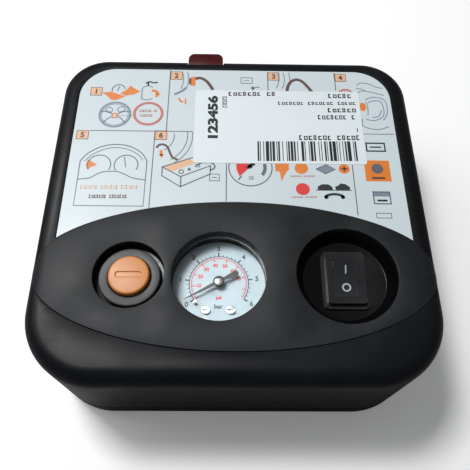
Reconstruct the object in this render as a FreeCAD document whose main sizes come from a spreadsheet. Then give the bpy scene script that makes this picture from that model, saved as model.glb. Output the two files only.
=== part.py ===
"""Portable tire inflator: a 12 V piston compressor in a flat, rounded plastic case.

Millimetres.  +Z up, the front (the side the user faces) looks along -Y, +X to the right.
The origin is the centre of the footprint, on the surface the rubber feet stand on.
"""
import FreeCAD, Part
import Sketcher
import math
import os
import re

doc = FreeCAD.newDocument("tire_inflator")
Vector = FreeCAD.Vector

DIMENSIONS = {
    # case
    "body_width": 159.0,
    "body_front": -80.0,
    "body_back": 74.0,
    "body_top": 58.0,
    "body_bottom": 2.5,
    "front_corner": 28.5,
    "back_corner": 20.0,
    "top_round": 6.5,
    "base_round": 3.0,
    "wall_thick": 2.4,
    "shell_split": 14.0,
    "split_groove": 0.8,
    "lip_height": 3.0,
    "lip_thick": 1.2,
    "fit_gap": 0.15,
    # screw posts and feet
    "post_front_x": 62.0,
    "post_front_y": -60.0,
    "post_back_x": 64.0,
    "post_back_y": 60.0,
    "post_radius": 4.0,
    "post_pilot": 1.3,
    "post_base": 6.0,
    "screw_hole": 1.8,
    "screw_shank": 1.2,
    "screw_head": 2.9,
    "screw_sink": 1.8,
    "screw_length": 14.0,
    "foot_radius": 7.0,
    "foot_height": 3.5,
    "foot_x": 50.0,
    "foot_y": 48.0,
    # control panel
    "panel_y": -37.0,
    "panel_half_x": 78.4,
    "panel_half_y": 31.0,
    "panel_skin": 1.6,
    "panel_proud": 0.4,
    "window_half_x": 74.3,
    "window_half_y": 29.2,
    # paper goods on the top
    "label_half_x": 70.9,
    "label_back": 66.0,
    "label_corner": 16.0,
    "label_small_corner": 2.0,
    "label_edge_x": 79.9,
    "label_edge_y": 31.3,
    "label_sink": 0.5,
    "label_thick": 0.3,
    "sticker_left": -18.2,
    "sticker_right": 56.5,
    "sticker_front": 13.6,
    "sticker_back": 53.8,
    "sticker_thick": 0.15,
    # deflate button and bleed valve
    "button_x": -41.1,
    "button_y": -38.1,
    "button_radius": 8.0,
    "button_bottom": 50.0,
    "button_flange": 8.9,
    "button_flange_base": 47.5,
    "button_travel": 3.0,
    "button_recess": 13.7,
    "button_floor": 52.6,
    "floor_thick": 1.6,
    "button_hole": 8.3,
    "collar_radius": 12.0,
    "collar_bore": 8.3,
    "collar_top": 55.6,
    "slot_length": 10.4,
    "slot_width": 2.4,
    "slot_depth": 1.0,
    "well_outer": 11.4,
    "well_inner": 9.6,
    "valve_top": 41.0,
    "valve_bottom": 22.5,
    "valve_radius": 6.5,
    "valve_flange": 11.4,
    "valve_bore": 2.6,
    "valve_stem": 2.5,
    "spring_radius": 5.0,
    "spring_wire": 0.8,
    "barb_radius": 2.4,
    "barb_length": 9.0,
    # pressure gauge
    "gauge_x": -6.5,
    "gauge_y": -38.1,
    "gauge_window": 18.4,
    "gauge_outer": 19.5,
    "gauge_inner": 18.7,
    "gauge_top": 53.4,
    "gauge_bottom": 30.0,
    "gauge_port": 5.0,
    "gauge_port_low": 22.5,
    "dial_radius": 18.5,
    "dial_top": 48.5,
    "dial_thick": 0.6,
    "lens_thick": 1.2,
    "arbor_radius": 0.7,
    "needle_level": 50.6,
    "needle_thick": 0.35,
    "needle_length": 15.4,
    "needle_tail": 8.6,
    "needle_rest": 209.0,
    "needle_hub": 2.3,
    "sector_radius": 9.0,
    "arbor_pinion_radius": 1.8,
    "sector_level": 43.0,
    "sector_thick": 1.0,
    "stop_pin_radius": 0.55,
    "dial_screw_x": 4.9,
    "dial_screw_y": -11.2,
    "dial_screw_head": 1.8,
    # rocker switch
    "switch_x": 43.2,
    "switch_y": -37.7,
    "dish_top": 19.85,
    "dish_floor_radius": 16.6,
    "dish_floor": 52.0,
    "rim_half_x": 8.7,
    "rim_half_y": 12.1,
    "rim_thick": 0.9,
    "frame_half_x": 7.5,
    "frame_half_y": 10.5,
    "frame_top": 55.0,
    "box_half_x": 6.5,
    "box_half_y": 9.3,
    "box_bottom": 32.0,
    "rocker_half_x": 4.75,
    "rocker_half_y": 7.2,
    "rocker_gap": 0.3,
    "rocker_end": 1.7,
    "rocker_middle": 0.5,
    "rocker_depth": 4.0,
    "rocker_tilt": 10.0,
    "rocker_pin": 0.9,
    "rocker_well": 47.0,
    # motor and drive
    "motor_y": 35.75,
    "motor_z": 26.0,
    "motor_left": -62.0,
    "motor_right": -4.0,
    "motor_radius": 18.0,
    "motor_wall": 1.2,
    "magnet_thick": 3.6,
    "armature_radius": 12.6,
    "shaft_radius": 1.6,
    "end_cap_length": 7.0,
    "bearing_radius": 4.0,
    "plate_left": -4.0,
    "plate_thick": 3.0,
    "gear_module": 0.75,
    "pinion_teeth": 12,
    "crank_teeth": 54,
    "gear_left": 0.2,
    "gear_width": 5.0,
    "crank_y": 11.0,
    "crank_radius": 6.5,
    "crank_web": 15.0,
    "axle_radius": 2.5,
    "run_gap": 0.05,
    # cylinder group
    "bore_x": 22.0,
    "rod_length": 30.0,
    "rod_width": 5.0,
    "crank_pin": 2.0,
    "wrist_pin": 1.75,
    "piston_radius": 9.9,
    "bore_radius": 10.0,
    "piston_skirt": 6.0,
    "piston_crown": 7.0,
    "barrel_radius": 12.2,
    "fin_radius": 14.6,
    "fin_count": 5,
    "barrel_front": 29.0,
    "barrel_back": 59.0,
    "head_thick": 8.0,
    # ports and fittings in the back wall
    "port_x": 50.0,
    "port_z": 26.0,
    "port_radius": 5.0,
    "port_bore": 2.5,
    "port_reach": 6.0,
    "manifold_front": 56.0,
    "manifold_half": 6.0,
    "gland_x": 30.0,
    "gland_z": 44.0,
    # rear catch
    "catch_x": -14.2,
    "catch_half": 8.2,
    "catch_top": 56.4,
    "catch_low": 34.6,
    "catch_reach": 78.2,
    "catch_depth": 4.2,
    "catch_pin": 0.8,
    "catch_pin_z": 36.0,
}

dims = doc.addObject("Spreadsheet::Sheet", "dims")
for row, (alias, value) in enumerate(DIMENSIONS.items(), start=1):
    dims.set(f"A{row}", alias.replace("_", " "))
    dims.set(f"B{row}", str(value))
    dims.setAlias(f"B{row}", alias)
doc.recompute()

pieces = []


def formula(text):
    """Point each name in a formula at its cell of the sheet."""
    return re.sub(r"[a-z]+(?:_[a-z]+)+", lambda name: "dims." + name.group(0), text)


def size(alias):
    """The number in one cell of the sheet."""
    return float(dims.get(alias))


def bind(item, sizes):
    for name, text in sizes.items():
        item.setExpression(name, formula(text))
    return item


TURNS = {
    "z": FreeCAD.Rotation(),
    "x": FreeCAD.Rotation(Vector(0, 1, 0), 90),
    "y": FreeCAD.Rotation(Vector(1, 0, 0), -90),
}


def settle(item, x, y, z, along="z"):
    item.Placement = FreeCAD.Placement(Vector(), TURNS[along])
    places = {"Placement.Base.x": x, "Placement.Base.y": y, "Placement.Base.z": z}
    return bind(item, places)


def block(name, x, y, z, width, depth, height):
    """A box from its low corner."""
    item = doc.addObject("Part::Box", name)
    bind(item, {"Length": width, "Width": depth, "Height": height})
    return settle(item, x, y, z)


def bar(name, radius, length, x, y, z, along="z"):
    """A round bar that starts at a point and runs along an axis."""
    item = doc.addObject("Part::Cylinder", name)
    bind(item, {"Radius": radius, "Height": length})
    return settle(item, x, y, z, along)


def taper(name, start, end, length, x, y, z, along="z"):
    item = doc.addObject("Part::Cone", name)
    bind(item, {"Radius1": start, "Radius2": end, "Height": length})
    return settle(item, x, y, z, along)


def ring(name, radius, wire, x, y, z, along="z"):
    item = doc.addObject("Part::Torus", name)
    bind(item, {"Radius1": radius, "Radius2": wire})
    return settle(item, x, y, z, along)


def fuse(name, *items):
    item = doc.addObject("Part::MultiFuse", name)
    item.Shapes = list(items)
    return item


def cut(name, base, *tools):
    item = doc.addObject("Part::Cut", name)
    item.Base = base
    item.Tool = tools[0] if len(tools) == 1 else fuse(name + "_tools", *tools)
    return item


def common(name, *items):
    item = doc.addObject("Part::MultiCommon", name)
    item.Shapes = list(items)
    return item


def group(name, *items):
    """Like pieces kept as separate solids in one node."""
    item = doc.addObject("Part::Compound", name)
    item.Links = list(items)
    return item


def sleeve(name, outer, bore, length, x, y, z, along="z"):
    """A tube."""
    return cut(
        name,
        bar(name + "_outside", outer, length, x, y, z, along),
        bar(name + "_bore", bore, length, x, y, z, along),
    )


def made(name, shape):
    """A piece whose shape neither a sketch nor a primitive gives."""
    item = doc.addObject("Part::Feature", name)
    item.Shape = shape
    return item


def keep(item, label):
    item.Label = label
    pieces.append(item)
    return item


def origin_plane(body, role):
    for feature in body.Origin.OriginFeatures:
        if feature.Role == role:
            return feature
    raise ValueError(role)


def new_sketch(body, name, role="XY_Plane"):
    sketch = body.newObject("Sketcher::SketchObject", name)
    sketch.AttachmentSupport = [(origin_plane(body, role), "")]
    sketch.MapMode = "FlatFace"
    return sketch


def value_of(text):
    """A formula's value, read back through the sheet's own expression engine."""
    return float(dims.evalExpression(formula(text).replace("dims.", "")))


def name_dimension(sketch, kind, first, second, name, text):
    """A radius, or a distance from the sketch's origin, bound to the sheet."""
    number = value_of(text)
    if kind == "Radius":
        constraint = Sketcher.Constraint("Radius", first, number)
    else:
        constraint = Sketcher.Constraint(kind, -1, 1, first, second, number)
    index = sketch.addConstraint(constraint)
    sketch.renameConstraint(index, name)
    sketch.setExpression("Constraints." + name, formula(text))


def rounded_outline(sketch, left, right, front, back, front_corner, back_corner):
    """Four sides joined by tangent arcs, each size bound to the sheet."""
    x0, x1 = value_of(left), value_of(right)
    y0, y1 = value_of(front), value_of(back)
    rf, rb = value_of(front_corner), value_of(back_corner)
    sides = [
        ((x0 + rf, y0), (x1 - rf, y0)),
        ((x1, y0 + rf), (x1, y1 - rb)),
        ((x1 - rb, y1), (x0 + rb, y1)),
        ((x0, y1 - rb), (x0, y0 + rf)),
    ]
    corners = [
        ((x1 - rf, y0 + rf), rf, -90, 0),
        ((x1 - rb, y1 - rb), rb, 0, 90),
        ((x0 + rb, y1 - rb), rb, 90, 180),
        ((x0 + rf, y0 + rf), rf, 180, 270),
    ]
    for start, end in sides:
        sketch.addGeometry(Part.LineSegment(Vector(*start, 0), Vector(*end, 0)))
    for centre, radius, start, end in corners:
        circle = Part.Circle(Vector(*centre, 0), Vector(0, 0, 1), radius)
        sketch.addGeometry(Part.ArcOfCircle(circle, math.radians(start), math.radians(end)))
    for index in range(4):
        arc = 4 + index
        following = (index + 1) % 4
        sketch.addConstraint(Sketcher.Constraint("Tangent", index, 2, arc, 1))
        sketch.addConstraint(Sketcher.Constraint("Tangent", arc, 2, following, 1))
        sketch.addConstraint(Sketcher.Constraint("Horizontal" if index % 2 == 0 else "Vertical", index))
    name_dimension(sketch, "DistanceY", 0, 1, "front", front)
    name_dimension(sketch, "DistanceX", 1, 1, "right", right)
    name_dimension(sketch, "DistanceY", 2, 1, "back", back)
    name_dimension(sketch, "DistanceX", 3, 1, "left", left)
    name_dimension(sketch, "Radius", 4, 0, "front_right", front_corner)
    name_dimension(sketch, "Radius", 5, 0, "back_right", back_corner)
    name_dimension(sketch, "Radius", 6, 0, "back_left", back_corner)
    name_dimension(sketch, "Radius", 7, 0, "front_left", front_corner)


def level_edges(feature, level):
    """The names of a solid's edges that lie flat at a height."""
    names = []
    for index, edge in enumerate(feature.Shape.Edges, start=1):
        box = edge.BoundBox
        if abs(box.ZMin - level) < 1e-4 and abs(box.ZMax - level) < 1e-4:
            names.append(f"Edge{index}")
    return names


def slab(name, outline, bottom, height, top_round=None, base_round=None):
    """A padded outline, its rims rounded, standing on a level."""
    body = doc.addObject("PartDesign::Body", name)
    sketch = new_sketch(body, name + "_outline")
    outline(sketch)
    pad = body.newObject("PartDesign::Pad", name + "_pad")
    pad.Profile = sketch
    bind(pad, {"Length": height})
    doc.recompute()
    for rim, text, level in (("top", top_round, value_of(height)), ("base", base_round, 0.0)):
        if text is None:
            continue
        solid = body.Tip
        fillet = body.newObject("PartDesign::Fillet", f"{name}_{rim}_round")
        fillet.Base = (solid, level_edges(solid, level))
        bind(fillet, {"Radius": text})
        doc.recompute()
    bind(body, {"Placement.Base.z": bottom})
    return body


def case_outline(inset):
    """The case's plan outline, moved in by an inset."""

    def outline(sketch):
        rounded_outline(
            sketch,
            f"-body_width / 2 + ({inset})",
            f"body_width / 2 - ({inset})",
            f"body_front + ({inset})",
            f"body_back - ({inset})",
            f"front_corner - ({inset})",
            f"back_corner - ({inset})",
        )

    return outline


def case_block(name, inset, bottom, top_round=None, base_round=None, top=None):
    """The case's outer form, moved in on every side and at the top."""
    top = top or f"body_top - ({inset})"
    return slab(name, case_outline(inset), bottom, f"{top} - ({bottom})", top_round, base_round)


def oval(name, half_x, half_y, bottom, height):
    """An upright elliptical prism about the panel's centre."""
    curve = doc.addObject("Part::Ellipse", name + "_curve")
    bind(curve, {"MajorRadius": half_x, "MinorRadius": half_y})
    settle(curve, "0", "panel_y", bottom)
    prism = doc.addObject("Part::Extrusion", name)
    prism.Base = curve
    prism.DirMode = "Custom"
    prism.Dir = Vector(0, 0, 1)
    prism.Solid = True
    bind(prism, {"LengthFwd": height})
    return prism


def gear_face(teeth, module, backlash, first_angle=0.0, count=None, hub=0.0):
    """An involute gear's outline; with a count, a sector of teeth that narrows to its hub."""
    pressure = math.radians(22)
    pitch = module * teeth / 2
    base = pitch * math.cos(pressure)
    tip = pitch + 0.85 * module
    root = pitch - 1.15 * module
    pitch_roll = math.tan(pressure) - pressure
    half_tooth = math.pi / (2 * teeth) - backlash / (2 * pitch)

    def flank_angle(radius):
        if radius <= base:
            return half_tooth + pitch_roll
        angle = math.acos(base / radius)
        return half_tooth + pitch_roll - (math.tan(angle) - angle)

    def point(radius, angle):
        return Vector(radius * math.cos(angle), radius * math.sin(angle), 0)

    low = max(base, root) + 0.001
    radii = [low + (tip - low) * step / 4 for step in range(5)]
    edges = []
    number = count or teeth
    for tooth in range(number):
        middle = math.radians(first_angle) + 2 * math.pi * tooth / teeth
        rise = [point(r, middle - flank_angle(r)) for r in radii]
        fall = [point(r, middle + flank_angle(r)) for r in reversed(radii)]
        foot = point(root, middle - flank_angle(low))
        heel = point(root, middle + flank_angle(low))
        edges.append(Part.LineSegment(foot, rise[0]).toShape())
        for curve, points in (("rise", rise), ("fall", fall)):
            spline = Part.BSplineCurve()
            spline.interpolate(points)
            edges.append(spline.toShape())
            if curve == "rise":
                edges.append(Part.Arc(rise[-1], point(tip, middle), fall[0]).toShape())
        edges.append(Part.LineSegment(fall[-1], heel).toShape())
        last = tooth == number - 1
        if last and count:
            continue
        half_gap = math.pi / teeth
        following = point(root, middle + 2 * half_gap - flank_angle(low))
        edges.append(Part.Arc(heel, point(root, middle + half_gap), following).toShape())
    if count:
        start = edges[0].Vertexes[0].Point
        end = edges[-1].Vertexes[-1].Point
        middle_angle = math.radians(first_angle) + math.pi * (number - 1) / teeth
        left = point(hub, middle_angle + math.pi / 2)
        right = point(hub, middle_angle - math.pi / 2)
        edges.append(Part.LineSegment(end, left).toShape())
        edges.append(Part.Arc(left, point(-hub, middle_angle), right).toShape())
        edges.append(Part.LineSegment(right, start).toShape())
    return Part.Face(Part.Wire(Part.__sortEdges__(edges)))


# a gear drawn in XY is turned so that its axis is +X, its X is +Y and its Y is +Z
ACROSS = FreeCAD.Rotation(Vector(1, 1, 1), 120)


# --- case -------------------------------------------------------------------------------------

POSTS = [
    ("front_left", "-post_front_x", "post_front_y"),
    ("front_right", "post_front_x", "post_front_y"),
    ("back_left", "-post_back_x", "post_back_y"),
    ("back_right", "post_back_x", "post_back_y"),
]


def label_outline(gap):
    def outline(sketch):
        rounded_outline(
            sketch,
            f"-label_half_x - ({gap})",
            f"label_half_x + ({gap})",
            f"panel_y - ({gap})",
            f"label_back + ({gap})",
            "label_small_corner",
            f"label_corner + ({gap})",
        )

    return outline


def make_upper_housing():
    outside = case_block("upper_outside", "0", "shell_split", "top_round")
    inside = case_block("upper_inside", "wall_thick", "shell_split - 1", "top_round - wall_thick")
    shell = cut("upper_shell", outside, inside)
    posts = []
    pilots = []
    for name, x, y in POSTS:
        height = "body_top - wall_thick - post_base + 0.5"
        posts.append(bar("post_" + name, "post_radius", height, x, y, "post_base"))
        pilots.append(bar("pilot_" + name, "post_pilot", "screw_length + 2", x, y, "post_base - 1"))
    catch_block = block(
        "catch_pocket_block",
        "catch_x - catch_half - 3",
        "body_back - catch_depth - 2",
        "catch_low - 3",
        "2 * catch_half + 6",
        "catch_depth + 2",
        "body_top - catch_low + 3",
    )
    catch_pocket = common("catch_pocket_wall", catch_block, outside)
    filled = fuse("upper_filled", shell, *posts, catch_pocket)
    # the panel's skin lies in a step that follows the rounded rim
    step_form = case_block(
        "panel_step_form", "panel_skin - panel_proud + 0.1", "shell_split - 2",
        "top_round - panel_skin + panel_proud - 0.1",
    )
    step_oval = oval("panel_step_oval", "panel_half_x + 0.1", "panel_half_y + 0.1",
                     "shell_split + 26", "body_top - shell_split")
    panel_step = cut("panel_step", step_oval, step_form)
    window = oval("panel_window", "window_half_x", "window_half_y", "shell_split + 26", "body_top")
    paper_form = slab("label_recess_form", label_outline("0.15"), "body_top - label_sink", "label_sink + 1")
    paper_oval = oval("label_recess_oval", "label_edge_x - 0.15", "label_edge_y - 0.15",
                      "shell_split + 26", "body_top")
    paper_recess = cut("label_recess", paper_form, paper_oval)
    catch_slot = block(
        "catch_slot",
        "catch_x - catch_half - 0.3",
        "body_back - catch_depth",
        "catch_low - 1.8",
        "2 * catch_half + 0.6",
        "catch_depth + 3",
        "catch_top - catch_low + 4",
    )
    catch_bore = bar("catch_bore", "catch_pin", "2 * catch_half + 4", "catch_x - catch_half - 2",
                     "body_back - catch_depth / 2 + 0.1", "catch_pin_z", "x")
    port_hole = bar("port_hole", "port_radius - 1", "8", "port_x", "body_back - 5", "port_z", "y")
    gland_hole = bar("gland_hole", "port_radius - 1", "8", "gland_x", "body_back - 5", "gland_z", "y")
    slots = []
    for index in range(7):
        slots.append(block(f"vent_{index}", f"-58 + {index} * 5", "body_back - 5", "20", "2", "8", "20"))
    housing = cut("upper_housing_cut", filled, panel_step, window, paper_recess, catch_slot,
                  catch_bore, port_hole, gland_hole, *pilots, *slots)
    keep(housing, "upper_housing")


def make_lower_housing():
    outside = case_block("lower_outside", "0", "body_bottom", None, "base_round", "shell_split")
    inside = case_block("lower_inside", "wall_thick", "body_bottom + wall_thick", None, None,
                        "shell_split + 1")
    tray = cut("lower_tray", outside, inside)
    lip_out = case_block("lip_out", "wall_thick + fit_gap", "body_bottom + wall_thick - 0.5", None, None,
                         "shell_split + lip_height")
    lip_in = case_block("lip_in", "wall_thick + fit_gap + lip_thick", "body_bottom + 1", None, None,
                        "shell_split + lip_height + 1")
    lip = cut("lower_lip", lip_out, lip_in)
    # the lip and the wall are one moulding below the split
    bridge_out = case_block("bridge_out", "1", "body_bottom + 1", None, None, "shell_split - 1")
    bridge = cut("lower_bridge", bridge_out, lip_in)
    bosses = []
    holes = []
    sinks = []
    for name, x, y in POSTS:
        bosses.append(bar("boss_" + name, "post_radius + 1", "post_base - body_bottom - 0.1", x, y,
                          "body_bottom"))
        holes.append(bar("hole_" + name, "screw_hole", "20", x, y, "-5"))
        sinks.append(bar("sink_" + name, "screw_head + 0.3", "screw_sink + 1", x, y, "body_bottom - 1"))
    recesses = []
    for index, (sign_x, sign_y) in enumerate(((-1, -1), (1, -1), (-1, 1), (1, 1))):
        recesses.append(bar(f"foot_recess_{index}", "foot_radius + 0.1", "2", f"{sign_x} * foot_x",
                            f"{sign_y} * foot_y", "body_bottom - 1"))
    solid = fuse("lower_solid", tray, lip, bridge, *bosses)
    groove_out = case_block("groove_out", "-1", "shell_split - split_groove", None, None, "shell_split")
    groove_in = case_block("groove_in", "split_groove", "shell_split - split_groove - 1", None, None,
                           "shell_split + 1")
    groove = cut("split_line", groove_out, groove_in)
    keep(cut("lower_housing_cut", solid, groove, *holes, *sinks, *recesses), "lower_housing")


def make_fasteners_and_feet():
    screws = []
    feet = []
    for name, x, y in POSTS:
        shank = bar("screw_shank_" + name, "screw_shank", "screw_length", x, y,
                    "body_bottom + screw_sink - 0.1")
        head = bar("screw_head_" + name, "screw_head", "screw_sink - 0.4", x, y, "body_bottom + 0.3")
        slot = block("screw_slot_" + name, f"{x} - 2.3", f"{y} - 0.4", "body_bottom", "4.6", "0.8", "0.8")
        cross = block("screw_cross_" + name, f"{x} - 0.4", f"{y} - 2.3", "body_bottom", "0.8", "4.6", "0.8")
        screws.append(cut("screw_" + name, fuse("screw_solid_" + name, shank, head), slot, cross))
    keep(group("case_screws_group", *screws), "case_screws")
    for index, (sign_x, sign_y) in enumerate(((-1, -1), (1, -1), (-1, 1), (1, 1))):
        x, y = f"{sign_x} * foot_x", f"{sign_y} * foot_y"
        pad = bar(f"foot_pad_{index}", "foot_radius", "foot_height - 1", x, y, "1")
        sole = taper(f"foot_sole_{index}", "foot_radius - 1", "foot_radius", "1", x, y, "0")
        feet.append(fuse(f"foot_{index}", pad, sole))
    keep(group("rubber_feet_group", *feet), "rubber_feet")


# --- control panel and paper ------------------------------------------------------------------

def make_control_panel():
    outer = case_block("panel_outer_form", "-panel_proud", "shell_split", "top_round + panel_proud")
    inner = case_block("panel_inner_form", "panel_skin - panel_proud", "shell_split - 1",
                       "top_round - panel_skin + panel_proud")
    skin = cut("panel_skin_form", outer, inner)
    cookie = oval("panel_cookie", "panel_half_x", "panel_half_y", "shell_split + 26", "body_top")
    plate = common("panel_plate", skin, cookie)
    deep = "body_top + panel_proud - 0.5"
    button_well = bar("button_well", "button_recess + 1", f"{deep} - (button_floor - floor_thick)",
                      "button_x", "button_y", "button_floor - floor_thick")
    valve_cage = bar("valve_cage", "well_outer", "button_floor - valve_top - 1", "button_x", "button_y",
                     "valve_top")
    gauge_well = bar("gauge_well", "gauge_outer + 2", f"{deep} - gauge_top - 0.1", "gauge_x", "gauge_y",
                     "gauge_top + 0.1")
    dish_well = bar("dish_well", "dish_top + 1", f"{deep} - (dish_floor - floor_thick)", "switch_x",
                    "switch_y", "dish_floor - floor_thick")
    solid = fuse("panel_solid", plate, button_well, valve_cage, gauge_well, dish_well)
    button_hole = bar("button_recess_cut", "button_recess", "20", "button_x", "button_y", "button_floor")
    cap_hole = bar("button_hole_cut", "button_hole", "20", "button_x", "button_y",
                   "button_floor - floor_thick - 1")
    cage_hole = bar("valve_cage_cut", "well_inner", "button_floor - floor_thick - valve_top + 1",
                    "button_x", "button_y", "valve_top - 1")
    gauge_hole = bar("gauge_window_cut", "gauge_window", "20", "gauge_x", "gauge_y", "gauge_top - 1")
    dish_rise = "body_top + panel_proud - dish_floor"
    dish = taper("dish_cut", "dish_floor_radius", "dish_top", dish_rise, "switch_x", "switch_y",
                 "dish_floor")
    switch_hole = block("switch_hole_cut", "switch_x - box_half_x - 0.1", "switch_y - box_half_y - 0.1",
                        "dish_floor - 5", "2 * box_half_x + 0.2", "2 * box_half_y + 0.2", "10")
    keep(cut("control_panel_cut", solid, button_hole, cap_hole, cage_hole, gauge_hole, dish, switch_hole),
         "control_panel")


def make_paper():
    sheet = slab("label_sheet", label_outline("0"), "body_top - label_sink", "label_thick")
    edge = oval("label_edge_oval", "label_edge_x", "label_edge_y", "shell_split + 26", "body_top")
    keep(cut("instruction_label_cut", sheet, edge), "instruction_label")
    sticker = slab(
        "sticker_sheet",
        lambda sketch: rounded_outline(sketch, "sticker_left", "sticker_right", "sticker_front",
                                       "sticker_back", "label_small_corner / 2", "label_small_corner / 2"),
        "body_top - label_sink + label_thick",
        "sticker_thick",
    )
    keep(sticker, "stock_sticker")


# --- deflate button and bleed valve -----------------------------------------------------------

def make_deflate_button():
    keep(sleeve("button_collar_ring", "collar_radius", "collar_bore", "collar_top - button_floor",
                "button_x", "button_y", "button_floor"), "button_collar")
    cap = doc.addObject("PartDesign::Body", "button_cap_body")
    disc = cap.newObject("PartDesign::AdditiveCylinder", "button_disc")
    bind(disc, {"Radius": "button_radius", "Height": "body_top - button_bottom"})
    doc.recompute()
    rim = cap.newObject("PartDesign::Fillet", "button_rim")
    rim.Base = (disc, level_edges(disc, value_of("body_top - button_bottom")))
    rim.Radius = 0.8
    doc.recompute()
    bind(cap, {"Placement.Base.x": "button_x", "Placement.Base.y": "button_y",
               "Placement.Base.z": "button_bottom"})
    skirt = bar("button_skirt", "button_flange", "button_bottom - button_flange_base + 0.4", "button_x",
                "button_y", "button_flange_base")
    straight = block("button_slot_middle", "button_x - (slot_length - slot_width) / 2",
                     "button_y - slot_width / 2", "body_top - slot_depth", "slot_length - slot_width",
                     "slot_width", "slot_depth + 1")
    ends = []
    for sign in (-1, 1):
        ends.append(bar(f"button_slot_end_{sign + 1}", "slot_width / 2", "slot_depth + 1",
                        f"button_x + {sign} * (slot_length - slot_width) / 2", "button_y",
                        "body_top - slot_depth"))
    socket = bar("button_socket", "valve_stem", "3", "button_x", "button_y", "button_flange_base - 1")
    keep(cut("deflate_button_cut", fuse("button_solid", cap, skirt), straight, *ends, socket),
         "deflate_button")
    stem = bar("valve_stem_bar", "valve_stem", "button_flange_base + 2 - valve_bottom - 7", "button_x",
               "button_y", "valve_bottom + 7")
    groove = cut("stem_groove", bar("stem_groove_out", "valve_stem + 1", "1.2", "button_x", "button_y",
                                    "valve_bottom + 9"),
                 bar("stem_groove_in", "valve_stem - 0.9", "1.2", "button_x", "button_y",
                     "valve_bottom + 9"))
    keep(cut("valve_stem_cut", stem, groove), "valve_stem")
    keep(ring("stem_seal_ring", "valve_stem - 0.4", "0.48", "button_x", "button_y",
              "valve_bottom + 9.6"), "stem_seal")


def make_bleed_valve():
    barrel = bar("valve_barrel", "valve_radius", "valve_top - valve_bottom", "button_x", "button_y",
                 "valve_bottom")
    flange = bar("valve_flange_disc", "valve_flange", "2", "button_x", "button_y", "valve_top - 2")
    barb = bar("valve_barb", "barb_radius", "valve_radius + barb_length", "button_x", "button_y",
               "valve_bottom + 3.5", "x")
    bore = bar("valve_bore_cut", "valve_bore", "30", "button_x", "button_y", "valve_bottom + 2")
    passage = bar("valve_passage", "1.1", "valve_radius + barb_length + 1", "button_x", "button_y",
                  "valve_bottom + 3.5", "x")
    keep(cut("bleed_valve_cut", fuse("valve_solid", barrel, flange, barb), bore, passage),
         "bleed_valve_body")
    # compression spring between the valve's top and the button's flange
    wire = size("spring_wire") / 2
    low = size("valve_top") + wire + 0.05
    high = size("button_flange_base") - wire - 0.05
    coil = Part.makeHelix((high - low) / 3.5, high - low, size("spring_radius"))
    section = Part.Wire(Part.Circle(Vector(size("spring_radius"), 0, 0), Vector(0, 1, 0.15), wire).toShape())
    spring = Part.Wire(coil).makePipeShell([section], True, True)
    item = made("button_spring_coil", spring)
    item.Placement = FreeCAD.Placement(Vector(size("button_x"), size("button_y"), low),
                                       FreeCAD.Rotation())
    keep(item, "button_spring")


# --- pressure gauge ---------------------------------------------------------------------------

def make_gauge_case():
    outside = bar("gauge_outside", "gauge_outer", "gauge_top - gauge_bottom", "gauge_x", "gauge_y",
                  "gauge_bottom")
    port = bar("gauge_port_bar", "gauge_port", "gauge_bottom - gauge_port_low", "gauge_x", "gauge_y",
               "gauge_port_low")
    barb = bar("gauge_barb", "barb_radius", "gauge_port + barb_length", "gauge_x", "gauge_y",
               "gauge_port_low + 3.5", "y")
    branch = bar("gauge_branch", "barb_radius", "gauge_port + barb_length",
                 "gauge_x - gauge_port - barb_length", "gauge_y", "gauge_port_low + 3.5", "x")
    branch_bore = bar("gauge_branch_bore", "1.1", "gauge_port + barb_length + 1",
                      "gauge_x - gauge_port - barb_length - 1", "gauge_y", "gauge_port_low + 3.5", "x")
    hollow = bar("gauge_hollow", "gauge_inner", "40", "gauge_x", "gauge_y", "gauge_bottom + 1.6")
    passage = bar("gauge_passage", "1.1", "30", "gauge_x", "gauge_y", "gauge_port_low + 3.5", "y")
    keep(cut("gauge_case_cut", fuse("gauge_case_solid", outside, port, barb, branch), hollow, passage,
             branch_bore), "gauge_case")
    keep(bar("gauge_lens_disc", "gauge_inner - 0.1", "lens_thick", "gauge_x", "gauge_y",
             "gauge_top - lens_thick"), "gauge_lens")


def make_gauge_dial():
    disc = bar("dial_disc", "dial_radius", "dial_thick", "gauge_x", "gauge_y", "dial_top - dial_thick")
    centre = bar("dial_centre", "arbor_radius + 0.6", "3", "gauge_x", "gauge_y", "dial_top - 2")
    holes = []
    screws = []
    for name, sign in (("left", -1), ("right", 1)):
        x, y = f"gauge_x + {sign} * dial_screw_x", "gauge_y + dial_screw_y"
        holes.append(bar(f"dial_hole_{name}", "0.9", "3", x, y, "dial_top - 2"))
        head = bar(f"dial_screw_head_{name}", "dial_screw_head", "0.8", x, y, "dial_top")
        shank = bar(f"dial_screw_shank_{name}", "0.8", "3", x, y, "dial_top - 2.9")
        notch = block(f"dial_screw_slot_{name}", f"{x} - 1.4", f"{y} - 0.2", "dial_top + 0.4", "2.8",
                      "0.4", "1")
        screws.append(cut(f"dial_screw_{name}", fuse(f"dial_screw_solid_{name}", head, shank), notch))
    keep(cut("gauge_dial_cut", disc, centre, *holes), "gauge_dial")
    keep(group("dial_screws_group", *screws), "dial_screws")
    angle = math.radians(222)
    keep(bar("stop_pin_bar", "stop_pin_radius", "2.4", f"gauge_x + {12.4 * math.cos(angle):.2f}",
             f"gauge_y + {12.4 * math.sin(angle):.2f}", "dial_top"), "needle_stop_pin")


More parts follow.
